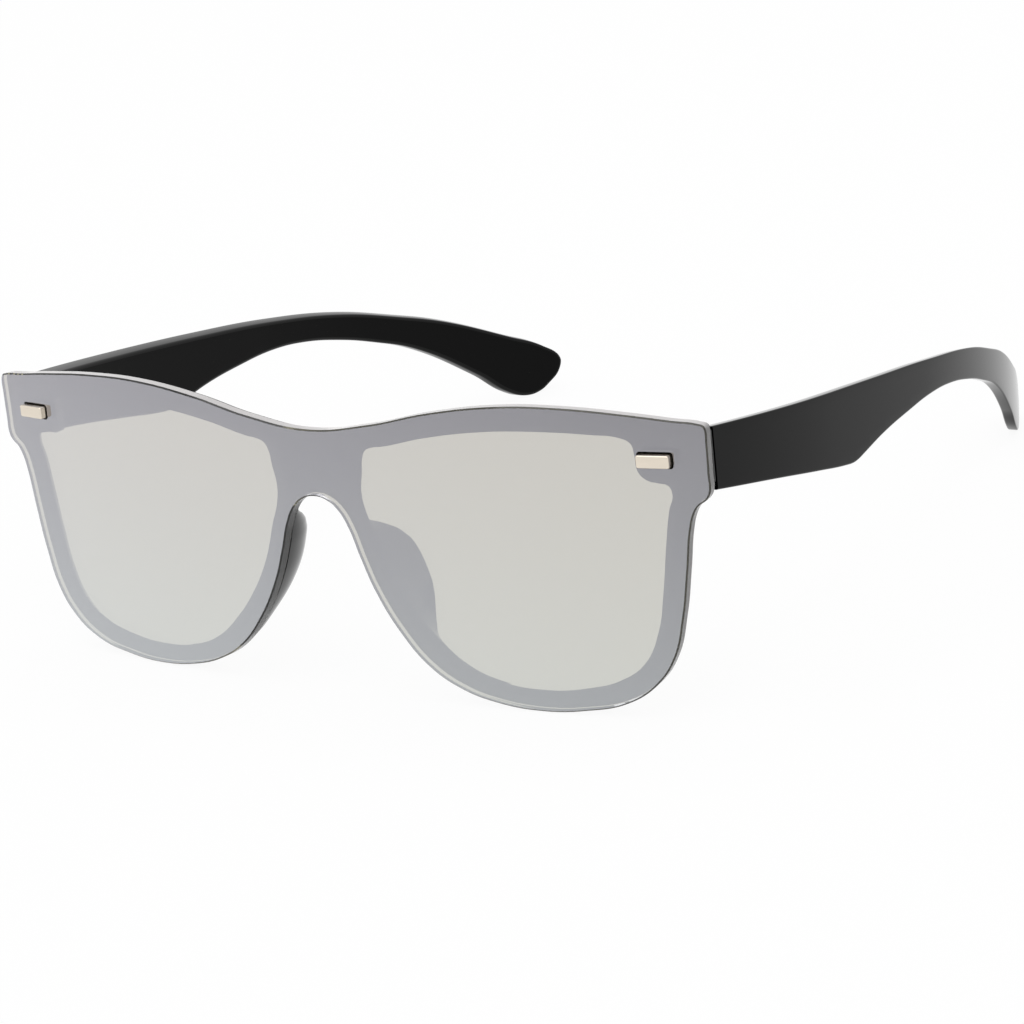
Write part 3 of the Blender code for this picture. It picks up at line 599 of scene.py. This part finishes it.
def coat_material():
    """Make the mirror coating: half mirror, half clear, with a painted reflection that gives more
    mirror at the bottom and right and shifts the colour from low to top.
    """
    material, nodes, links, shader = new_material("mirror_coat")
    place = split_axes(nodes, links, nodes.new("ShaderNodeTexCoord").outputs["Object"])
    across = maths(nodes, links, "MULTIPLY_ADD", place["X"], PAINTED_REFLECTION_PER_METRE_ACROSS, COAT_SHARE)
    # The mirror share grows towards the bottom and right: painted reflection.
    coat_and_painted_reflection_density = maths(nodes, links, "MULTIPLY_ADD", place["Z"], PAINTED_REFLECTION_PER_METRE_UP, across)
    links.new(coat_and_painted_reflection_density, shader.inputs["Metallic"])
    height = nodes.new("ShaderNodeMapRange")
    height.inputs["From Max"].default_value = LENS_HEIGHT
    links.new(place["Z"], height.inputs["Value"])
    # The colour runs from low to top: the coat's own tint, shifted by painted reflection.
    colour = two_colours(nodes, links, height.outputs["Result"], COAT_AND_PAINTED_REFLECTION_LOW_COLOUR, COAT_AND_PAINTED_REFLECTION_TOP_COLOUR)
    links.new(colour, shader.inputs["Base Color"])
    smears = object_noise(nodes, links, COAT_SMEAR_SCALE)
    links.new(ranged(nodes, links, smears, *COAT_ROUGHNESS), shader.inputs["Roughness"])
    shader.inputs["IOR"].default_value = LENS_IOR
    shader.inputs["Transmission Weight"].default_value = 1.0
    return material


def tint_material():
    """Make the tinted plastic of the lens, as its uncoated back shows it."""
    material, nodes, links, shader = new_material("lens_tint")
    shader.inputs["Base Color"].default_value = (*TINT_COLOUR, 1)
    shader.inputs["IOR"].default_value = LENS_IOR
    shader.inputs["Transmission Weight"].default_value = 1.0
    smears = object_noise(nodes, links, TINT_SMEAR_SCALE)
    links.new(ranged(nodes, links, smears, *TINT_ROUGHNESS), shader.inputs["Roughness"])
    return material


def edge_material():
    """Make the edge of the lens: clear at the nose, and frosted pale where it faces up and towards the
    ends, which paints a highlight of the light from above and paints the ends lighter.
    """
    material, nodes, links, shader = new_material("lens_edge")
    grind = object_noise(nodes, links, GRIND_SCALE, 4.0, GRIND_STRETCH)
    darker = [EDGE_DARK_SHARE * part for part in EDGE_COLOUR]
    links.new(two_colours(nodes, links, grind, EDGE_COLOUR, darker), shader.inputs["Base Color"])
    links.new(ranged(nodes, links, grind, *EDGE_ROUGHNESS), shader.inputs["Roughness"])
    shader.inputs["IOR"].default_value = LENS_IOR
    surface = nodes.new("ShaderNodeNewGeometry").outputs
    normal = split_axes(nodes, links, surface["Normal"])
    # The edge is made paler the more it faces up: painted highlight of the light from above.
    top = maths(nodes, links, "MULTIPLY", normal["Z"], TOP_PAINTED_LIGHT_SHARE)
    place = split_axes(nodes, links, nodes.new("ShaderNodeTexCoord").outputs["Object"])
    # The edge is made paler towards the ends: painted light.
    end = nodes.new("ShaderNodeMapRange")
    end.inputs["From Min"].default_value = HALF_WIDTH / 3
    end.inputs["From Max"].default_value = HALF_WIDTH * 2 / 3
    end.inputs["To Max"].default_value = END_PAINTED_LIGHT_SHARE
    links.new(maths(nodes, links, "ABSOLUTE", place["X"]), end.inputs["Value"])
    painted_light_frost = maths(nodes, links, "MAXIMUM", top, end.outputs["Result"])
    outside = maths(nodes, links, "SUBTRACT", 1, surface["Backfacing"])
    clear = maths(nodes, links, "SUBTRACT", 1, maths(nodes, links, "MULTIPLY", painted_light_frost, outside))
    links.new(clear, shader.inputs["Transmission Weight"])
    return material


def plastic_material(name, grey, roughness, bending, grain):
    """Make a moulded black plastic with a fine grain and slight handling marks."""
    material, nodes, links, shader = new_material(name)
    clouds = object_noise(nodes, links, CLOUD_SCALE)
    colour = two_colours(nodes, links, clouds, [grey] * 3, [CLOUD_PALE_SHARE * grey] * 3)
    links.new(colour, shader.inputs["Base Color"])
    marks = object_noise(nodes, links, MARK_SCALE)
    links.new(ranged(nodes, links, marks, *roughness), shader.inputs["Roughness"])
    shader.inputs["IOR"].default_value = bending
    add_bump(nodes, links, shader, object_noise(nodes, links, GRAIN_SCALE, 2.0), grain)
    return material


def metal_material(name, colour, roughness, stretch):
    """Make a brushed and plated metal."""
    material, nodes, links, shader = new_material(name)
    brushing = object_noise(nodes, links, BRUSHING_SCALE, 5.0, stretch)
    darker = [BRUSHING_DARK_SHARE * part for part in colour]
    links.new(two_colours(nodes, links, brushing, colour, darker), shader.inputs["Base Color"])
    links.new(ranged(nodes, links, brushing, *roughness), shader.inputs["Roughness"])
    shader.inputs["Metallic"].default_value = 1.0
    add_bump(nodes, links, shader, brushing, BRUSHING_HEIGHT)
    return material


# Dressing a piece
def dress(item, body, replaced):
    """Shade a piece, stand it up and hand it to the frame."""
    item.data.transform(STANDING)
    item.data.shade_smooth()
    item.data.set_sharp_from_angle(angle=SMOOTH_ANGLE)
    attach(item, body)
    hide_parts(replaced)


def mirror_if_right(item, side):
    """Turn a left-hand piece into a right-hand one where that is wanted."""
    if side < 0:
        item.data.transform(Matrix.Diagonal((-1, 1, 1, 1)))
        item.data.flip_normals()


# Lens
def make_lens(lens_loop, materials):
    """Make the lens: a smoothly bent plate with polished edges and two slots."""
    profile = [
        (LENS_CHAMFER, 0.0), (0.0, LENS_CHAMFER),
        (0.0, LENS_THICKNESS - LENS_CHAMFER), (LENS_CHAMFER, LENS_THICKNESS),
    ]
    slots = [slot_loop(side) for _, side in SIDES]
    # The walls of the rivet slots take the gloss black plastic: painted shade in the narrow gap round
    # each rivet.
    bm = plate(lens_loop, slots, profile, (FACE_STEP, FACE_STEP), (0, 2, 1, 2, 2), 3)
    bend_on_lens(bm)
    surfaces = [materials[name] for name in ("coat", "edge", "tint", "gloss_black")]
    lens = new_object("lens_plate", new_mesh(bm, "lens_plate"), *surfaces)
    dress(lens, "front", "mirror_lens")


# Frame
def nearest_crossing(loop, height):
    """Return how far from the middle a loop first comes at a height."""
    after = np.roll(loop, -1, axis=0)
    crosses = (loop[:, 1] <= height) != (after[:, 1] <= height)
    first, last = loop[crosses], after[crosses]
    share = (height - first[:, 1]) / (last[:, 1] - first[:, 1])
    places = first[:, 0] + share * (last[:, 0] - first[:, 0])
    return places[places > 0].min()


def around(centre, radius, angle):
    """Return a point on a circle, from an angle that turns from the nose to the back."""
    return centre[0] - radius * math.cos(angle), centre[1] + radius * math.sin(angle)


def pad_section(lens_loop, eye, height, share):
    """Return one level cut through a nose pad: nose face, round tip and root."""
    nose_x = nearest_crossing(lens_loop, height)
    buried_inset = FRAME_INSET + SEAT_GAP
    start_x = nose_x + buried_inset + share * (PAD_INSET - buried_inset)
    start_y = arc_point(nose_x, FRAME_FRONT).y + PAD_STEP
    curve = share * PAD_CURVE_RADIUS
    tip = share * PAD_TIP_RADIUS
    turn = math.asin((PAD_REACH - PAD_TIP_RADIUS) / (PAD_CURVE_RADIUS - PAD_TIP_RADIUS))
    centre = (start_x + curve, start_y)
    tip_centre = around(centre, curve - tip, turn)
    section = [around(centre, curve, turn * step / PAD_CURVE_STEPS) for step in range(PAD_CURVE_STEPS)]
    for step in range(2 * ROUND_STEPS + 1):
        section.append(around(tip_centre, tip, turn + (math.pi - turn) * step / (2 * ROUND_STEPS)))
    eye_root = nearest_crossing(eye, height) - FRAME_CHAMFER / 2
    section.append((eye_root, arc_point(eye_root, FRAME_FRONT + FRAME_THICKNESS / 2).y))
    return section


def make_pad(lens_loop, side):
    """Make a nose pad as a smooth loft from level to level."""
    eye = eye_loop(1)
    line = smooth_line(PAD_STATION_SHARES, closed=False)
    levels = np.linspace(line[0, 0], line[-1, 0], PAD_LEVELS)
    shares = np.interp(-levels, -line[:, 0], line[:, 1])
    bm = bmesh.new()
    rings = []
    for level, share in zip(levels, shares):
        height = level * LENS_HEIGHT
        section = pad_section(lens_loop, eye, height, share)
        rings.append([bm.verts.new((side * x, y, height)) for x, y in section])
    for upper, lower in zip(rings, rings[1:]):
        for index in range(len(upper)):
            after = (index + 1) % len(upper)
            bm.faces.new((upper[index], upper[after], lower[after], lower[index]))
    bm.faces.new(rings[0])
    bm.faces.new(reversed(rings[-1]))
    return new_object("pad", new_mesh(bm, "pad"))


def make_end_block(side):
    """Make the block that the hinge is set in."""
    low = (END_BLOCK_SIDE - END_BLOCK_WIDTH, 0, RIVET_HEIGHT - END_BLOCK_HEIGHT / 2)
    high = (END_BLOCK_SIDE, END_BLOCK_BACK, RIVET_HEIGHT + END_BLOCK_HEIGHT / 2)
    block = new_object("end_block", box_mesh("end_block", low, high))
    for vertex in block.data.vertices:
        if vertex.co.y < END_BLOCK_BACK / 2:
            vertex.co.y = arc_point(vertex.co.x, FRAME_FRONT + FRAME_THICKNESS / 2).y
    round_edges(block, END_BLOCK_ROUNDING)
    mirror_if_right(block, side)
    return block


def front_leaf_box(grow):
    """Return two corners of the front leaf's plate, made larger by a distance."""
    back = END_BLOCK_BACK - HINGE_AXIS_Y
    low = (-FRONT_LEAF_WIDTH / 2 - grow, back - LEAF_THICKNESS - grow, -HINGE_HEIGHT / 2 - grow)
    high = (FRONT_LEAF_WIDTH / 2 + grow, back, HINGE_HEIGHT / 2 + grow)
    return low, high


def leaf_pocket(side):
    """Make the cutter for the pocket that a hinge's front leaf sits in."""
    low, high = front_leaf_box(SEAT_GAP / 2)
    mesh = box_mesh("leaf_pocket", low, (high[0], high[1] + CUT_OVERRUN, high[2]))
    mesh.transform(fold_axis_place(side))
    return new_object("leaf_pocket", mesh)


def rivet_pin(side, grow):
    """Make the round pin behind a rivet's bar, or the cutter for its hole."""
    low = -FRAME_FRONT - RIVET_PIN_LENGTH - grow
    mesh = rod_mesh("pin", RIVET_PIN_RADIUS + grow, low, -LENS_THICKNESS / 2)
    bm = bmesh.new()
    bm.from_mesh(mesh)
    for vertex in bm.verts:
        x, z, depth = vertex.co
        place = arc_point(side * RIVET_X + x, -depth)
        vertex.co = (place.x, place.y, RIVET_HEIGHT + z)
    return new_object("rivet_pin", new_mesh(bm, "rivet_pin"))


def make_frame(lens_loop, materials):
    """Make the frame: a bent plate with eye openings, nose pads and end blocks."""
    outer = inset_loop(lens_loop, FRAME_INSET)
    profile = [(0.0, 0.0), (0.0, FRAME_LIP), (FRAME_CHAMFER, FRAME_THICKNESS)]
    eyes = [eye_loop(side) for _, side in SIDES]
    bm = plate(outer, eyes, profile, (2 * FACE_STEP, FACE_STEP))
    bend_on_lens(bm, FRAME_FRONT)
    mesh = new_mesh(bm, "front_moulding")
    moulding = new_object("front_moulding", mesh, materials["gloss_black"])
    for _, side in SIDES:
        combine(moulding, make_pad(lens_loop, side), "UNION")
        combine(moulding, make_end_block(side), "UNION")
        combine(moulding, rivet_pin(side, SEAT_GAP / 2), "DIFFERENCE")
        combine(moulding, leaf_pocket(side), "DIFFERENCE")
    dress(moulding, "front", "frame_front")


# Rivets
def make_rivet(side_name, side, materials):
    """Make a rivet: a rounded bar through the lens, with a pin into the frame."""
    half_length = RIVET_LENGTH / 2
    half_breadth = RIVET_BREADTH / 2
    low = (side * RIVET_X - half_length, RIVET_HEIGHT - half_breadth, -RIVET_PROUD)
    high = (side * RIVET_X + half_length, RIVET_HEIGHT + half_breadth, LENS_THICKNESS)
    blank = new_object("blank", box_mesh("blank", low, high))
    round_edges(blank, RIVET_ROUNDING, 5)
    bm = bmesh.new()
    bm.from_mesh(blank.data)
    bpy.data.objects.remove(blank, do_unlink=True)
    bend_on_lens(bm)
    name = "rivet_bar_" + side_name
    rivet = new_object(name, new_mesh(bm, name), materials["pale_metal"])
    combine(rivet, rivet_pin(side, 0), "UNION")
    dress(rivet, "front", "rivet_" + side_name)


# Hinges, drawn about their own axis
def fold_axis_place(side):
    """Return where a temple's fold axis is on the upright glasses."""
    return Matrix.Translation((side * HINGE_AXIS_X, HINGE_AXIS_Y, RIVET_HEIGHT))


def prism_mesh(name, points, low, high):
    """Make an upright prism from a flat outline."""
    bm = bmesh.new()
    base = bm.faces.new([bm.verts.new((x, y, low)) for x, y in points])
    grown = bmesh.ops.extrude_face_region(bm, geom=[base])
    raised = [part for part in grown["geom"] if isinstance(part, bmesh.types.BMVert)]
    bmesh.ops.translate(bm, vec=(0, 0, high - low), verts=raised)
    return new_mesh(bm, name)


def knuckle(number, heading, reach):
    """Make a knuckle round the axis, with a tongue of a given reach and heading."""
    low = -HINGE_HEIGHT / 2 + number * (HINGE_KNUCKLE_HEIGHT + SEAT_GAP)
    half_turn = FINE_SIDES // 2
    outline = []
    for step in range(half_turn + 1):
        angle = math.pi / 2 + math.pi * step / half_turn
        place = (HINGE_KNUCKLE_RADIUS * math.cos(angle), HINGE_KNUCKLE_RADIUS * math.sin(angle))
        outline.append(place)
    outline += [(reach, -HINGE_KNUCKLE_RADIUS), (reach, HINGE_KNUCKLE_RADIUS)]
    item = new_object("knuckle", prism_mesh("knuckle", outline, low, low + HINGE_KNUCKLE_HEIGHT))
    item.data.transform(Matrix.Rotation(heading, 4, "Z"))
    return item


def screw_hole():
    """Make the cutter for the screw's hole through a leaf."""
    reach = HINGE_HEIGHT / 2 + CUT_OVERRUN
    mesh = rod_mesh("screw_hole", SCREW_RADIUS + SEAT_GAP / 2, -reach, reach)
    return new_object("screw_hole", mesh)


def finish_hinge_piece(item, side, body, replaced):
    """Round a hinge piece, put it on its axis and dress it."""
    round_edges(item, HINGE_ROUNDING, 2)
    item.data.transform(fold_axis_place(1))
    mirror_if_right(item, side)
    dress(item, body, replaced)


def make_front_leaf(side_name, side, materials):
    """Make the leaf that is set in the frame, with the outer two knuckles."""
    mesh = box_mesh("front_leaf", *front_leaf_box(0))
    leaf = new_object("front_leaf_" + side_name, mesh, materials["steel"])
    reach = HINGE_AXIS_Y - END_BLOCK_BACK + LEAF_THICKNESS / 2
    for number in (0, 2):
        combine(leaf, knuckle(number, -math.pi / 2, reach), "UNION")
    combine(leaf, screw_hole(), "DIFFERENCE")
    finish_hinge_piece(leaf, side, "front", "hinge_front_leaf_" + side_name)


def temple_middle_x(y):
    """Return how far out the middle line of a temple is, seen from above."""
    if y < TEMPLE_WIDEST_Y:
        return TEMPLE_WIDEST_X - (TEMPLE_WIDEST_Y - y) ** 2 / (2 * TEMPLE_FRONT_BEND)
    hook = max(y - TEMPLE_HOOK_Y, 0) ** 2 / (2 * TEMPLE_HOOK_BEND)
    return TEMPLE_WIDEST_X - (y - TEMPLE_WIDEST_Y) ** 2 / (2 * TEMPLE_MIDDLE_BEND) - hook


def temple_leaf_place():
    """Return where the temple leaf's plate lies: the middle of its flush face, turned."""
    middle_y = TEMPLE_FRONT_Y + TEMPLE_LEAF_LENGTH / 2
    ahead = temple_middle_x(middle_y + TEMPLE_LEAF_LENGTH / 2)
    behind = temple_middle_x(middle_y - TEMPLE_LEAF_LENGTH / 2)
    turn = math.atan2(ahead - behind, TEMPLE_LEAF_LENGTH)
    inner_x = temple_middle_x(middle_y) - TEMPLE_THICKNESS / 2 / math.cos(turn)
    place = Matrix.Translation((inner_x - HINGE_AXIS_X, middle_y - HINGE_AXIS_Y, 0))
    return place @ Matrix.Rotation(-turn, 4, "Z")


def temple_leaf_plate(name, grow, overrun, *materials):
    """Make the temple leaf's plate, or with an overrun the cutter for its pocket."""
    half = TEMPLE_LEAF_LENGTH / 2
    low = (-overrun, -half - overrun, -HINGE_HEIGHT / 2 - grow)
    high = (LEAF_THICKNESS + grow, half + grow, HINGE_HEIGHT / 2 + grow)
    mesh = box_mesh(name, low, high)
    mesh.transform(temple_leaf_place())
    return new_object(name, mesh, *materials)


def make_temple_leaf(side_name, side, materials):
    """Make the leaf that is set in a temple, with the middle knuckle."""
    leaf = temple_leaf_plate("temple_leaf_" + side_name, 0, 0, materials["steel"])
    corner = temple_leaf_place().translation
    combine(leaf, knuckle(1, 0, corner.x + LEAF_THICKNESS / 2), "UNION")
    combine(leaf, screw_hole(), "DIFFERENCE")
    replaced = "hinge_temple_leaf_" + side_name
    finish_hinge_piece(leaf, side, side_name + "_temple", replaced)


def make_screw(side_name, side, materials):
    """Make the hinge screw: a turned shank and head with a driver slot."""
    under_head = HINGE_HEIGHT / 2 + SEAT_GAP / 2
    top = under_head + SCREW_HEAD_HEIGHT
    name = "fold_screw_" + side_name
    shank = rod_mesh(name, SCREW_RADIUS, -HINGE_HEIGHT / 2, under_head + SCREW_HEAD_HEIGHT / 2)
    screw = new_object(name, shank, materials["bright_steel"])
    head = new_object("head", rod_mesh("head", SCREW_HEAD_RADIUS, under_head, top))
    combine(screw, head, "UNION")
    low = (-SCREW_HEAD_RADIUS - CUT_OVERRUN, -SCREW_SLOT_WIDTH / 2, top - SCREW_SLOT_DEPTH)
    high = (SCREW_HEAD_RADIUS + CUT_OVERRUN, SCREW_SLOT_WIDTH / 2, top + CUT_OVERRUN)
    slot = new_object("slot", box_mesh("slot", low, high))
    slot.data.transform(Matrix.Rotation(SCREW_SLOT_TURN, 4, "Z"))
    combine(screw, slot, "DIFFERENCE")
    finish_hinge_piece(screw, side, "front", "hinge_screw_" + side_name)


# Temples
def temple_loop():
    """Return the side outline of a temple, run past its front end so it can be cut."""
    edge = [(x * TEMPLE_LENGTH, TEMPLE_TOP - z * TEMPLE_DROP) for x, z in TEMPLE_EDGE_SHARES]
    front = -4 * TEMPLE_ROUNDING
    line = smooth_line(edge, closed=False)
    points = np.vstack([[(front, line[0, 1])], line, [(front, line[-1, 1])]])
    return spread_evenly(points, OUTLINE_STEP)


def slope_temple_top(bm, loop):
    """Let the top of a temple fall towards its inner face."""
    for vertex in bm.verts:
        along, height, depth = vertex.co
        near = loop[np.abs(loop[:, 0] - along) < 2 * OUTLINE_STEP, 1]
        middle = (near.max() + near.min()) / 2
        share = (height - middle) / max(near.max() - middle, TEMPLE_ROUNDING)
        vertex.co.y -= TEMPLE_TOP_FALL * min(max(share, 0), 1) * depth / TEMPLE_THICKNESS


def bend_temple(bm):
    """Bend a straight temple, thinner towards its tip, as seen from above."""
    for vertex in bm.verts:
        along, height, depth = vertex.co
        share = min(max(along / TEMPLE_LENGTH, 0), 1)
        thickness = TEMPLE_THICKNESS + share * (TEMPLE_TIP_THICKNESS - TEMPLE_THICKNESS)
        offset = (TEMPLE_THICKNESS / 2 - depth) * thickness / TEMPLE_THICKNESS
        y = TEMPLE_FRONT_Y + along
        vertex.co = (temple_middle_x(y) + offset, y, height)


def make_temple(side_name, side, materials):
    """Make a temple: a bent bar with a flat front end and a pocket for its leaf."""
    profile = quarter_round(TEMPLE_ROUNDING, 0.0, True)
    inner_start = TEMPLE_THICKNESS - TEMPLE_INNER_ROUNDING
    profile += quarter_round(TEMPLE_INNER_ROUNDING, inner_start, False)
    loop = temple_loop()
    bm = plate(loop, [], profile, (FACE_STEP, FACE_STEP), (0, 0, 0, 1, 1))
    slope_temple_top(bm, loop)
    cut = bmesh.ops.bisect_plane(
        bm, geom=bm.verts[:] + bm.edges[:] + bm.faces[:], dist=MERGE_DISTANCE,
        plane_co=(0, 0, 0), plane_no=(1, 0, 0), clear_inner=True,
    )
    rim = [part for part in cut["geom_cut"] if isinstance(part, bmesh.types.BMEdge)]
    bmesh.ops.contextual_create(bm, geom=rim)
    bend_temple(bm)
    name = "temple_arm_" + side_name
    # The inner face and its rounding take the darker copy of the plastic: painted shade.
    surfaces = (materials["satin_black"], materials["inner_painted_shade_black"])
    temple = new_object(name, new_mesh(bm, name), *surfaces)
    pocket = temple_leaf_plate("temple_pocket", SEAT_GAP / 2, CUT_OVERRUN)
    pocket.data.transform(fold_axis_place(1))
    combine(temple, pocket, "DIFFERENCE")
    mirror_if_right(temple, side)
    dress(temple, side_name + "_temple", "temple_" + side_name)


# Studio
def white_for_sight(nodes, links):
    """Return 1 for what is seen directly, mirrored or through the lens, and 0 for light."""
    path = nodes.new("ShaderNodeLightPath")
    seen = path.outputs["Is Camera Ray"]
    for name in ("Is Glossy Ray", "Is Transmission Ray"):
        seen = maths(nodes, links, "MAXIMUM", seen, path.outputs[name])
    return seen


def make_world():
    """Light from all round, and a white background."""
    world = bpy.data.worlds.new("studio")
    world.use_nodes = True
    bpy.context.scene.world = world
    nodes, links = world.node_tree.nodes, world.node_tree.links
    level = ranged(nodes, links, white_for_sight(nodes, links), AMBIENT_LEVEL, WHITE_LEVEL)
    links.new(level, nodes["Background"].inputs["Strength"])
    nodes["Background"].inputs["Color"].default_value = (1, 1, 1, 1)


def make_floor():
    """Make the plain pale floor that keeps a soft shadow."""
    bm = bmesh.new()
    bmesh.ops.create_circle(bm, cap_ends=True, segments=FINE_SIDES, radius=FLOOR_RADIUS)
    floor = new_object("floor", new_mesh(bm, "floor"))
    floor.location.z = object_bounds()[0].z
    material, nodes, links, shader = new_material("pale_floor")
    shader.inputs["Base Color"].default_value = (FLOOR_GREY, FLOOR_GREY, FLOOR_GREY, 1)
    shader.inputs["Roughness"].default_value = 1.0
    shader.inputs["Specular IOR Level"].default_value = 0.0
    fill = nodes.new("ShaderNodeEmission")
    fill.inputs["Strength"].default_value = WHITE_LEVEL
    mix = nodes.new("ShaderNodeMixShader")
    share = ranged(nodes, links, white_for_sight(nodes, links), 0.0, FLOOR_FILL_SHARE)
    links.new(share, mix.inputs["Fac"])
    links.new(shader.outputs["BSDF"], mix.inputs[1])
    links.new(fill.outputs["Emission"], mix.inputs[2])
    links.new(mix.outputs["Shader"], nodes["Material Output"].inputs["Surface"])
    floor.data.materials.append(material)


def make_lamp():
    """Hang one large soft lamp over the glasses."""
    lamp = bpy.data.lights.new("softbox", "AREA")
    lamp.shape = "SQUARE"
    lamp.size = LAMP_SIZE
    lamp.energy = LAMP_POWER
    item = bpy.data.objects.new("softbox", lamp)
    item.location = (0, 0, LAMP_HEIGHT)
    bpy.context.scene.collection.objects.link(item)


def make_camera():
    """Put the camera where the photograph was taken from."""
    back = Vector((
        math.sin(CAMERA_AZIMUTH) * math.cos(CAMERA_ELEVATION),
        -math.cos(CAMERA_AZIMUTH) * math.cos(CAMERA_ELEVATION),
        math.sin(CAMERA_ELEVATION),
    ))
    level_right = back.cross(Vector((0, 0, -1))).normalized()
    level_up = back.cross(level_right)
    right = level_right * math.cos(CAMERA_ROLL) + level_up * math.sin(CAMERA_ROLL)
    up = level_up * math.cos(CAMERA_ROLL) - level_right * math.sin(CAMERA_ROLL)
    turn = Matrix((right, up, back)).transposed().to_4x4()
    place = Matrix.Translation(Vector(CAMERA_TARGET) + back * CAMERA_DISTANCE)
    lens = bpy.data.cameras.new("camera")
    lens.sensor_width = CAMERA_SENSOR_MM
    lens.lens = CAMERA_LENS_MM
    lens.clip_start = CAMERA_NEAREST
    item = bpy.data.objects.new("camera", lens)
    item.matrix_world = STANDING @ place @ turn
    bpy.context.scene.collection.objects.link(item)
    bpy.context.scene.camera = item


def make_materials():
    """Make every material of the glasses."""
    materials = {"coat": coat_material(), "tint": tint_material(), "edge": edge_material()}
    for name, finish in PLASTICS.items():
        materials[name] = plastic_material(name, *finish)
    for name, finish in METALS.items():
        materials[name] = metal_material(name, *finish)
    return materials


def build():
    """Dress the sunglasses and set up the studio."""
    materials = make_materials()
    lens_loop = full_loop(LENS_EDGE_SHARES)
    make_lens(lens_loop, materials)
    make_frame(lens_loop, materials)
    for side_name, side in SIDES:
        make_rivet(side_name, side, materials)
        make_front_leaf(side_name, side, materials)
        make_temple_leaf(side_name, side, materials)
        make_screw(side_name, side, materials)
        make_temple(side_name, side, materials)
    make_world()
    make_floor()
    make_lamp()
    make_camera()
    bpy.context.scene.view_settings.view_transform = "Standard"


build()
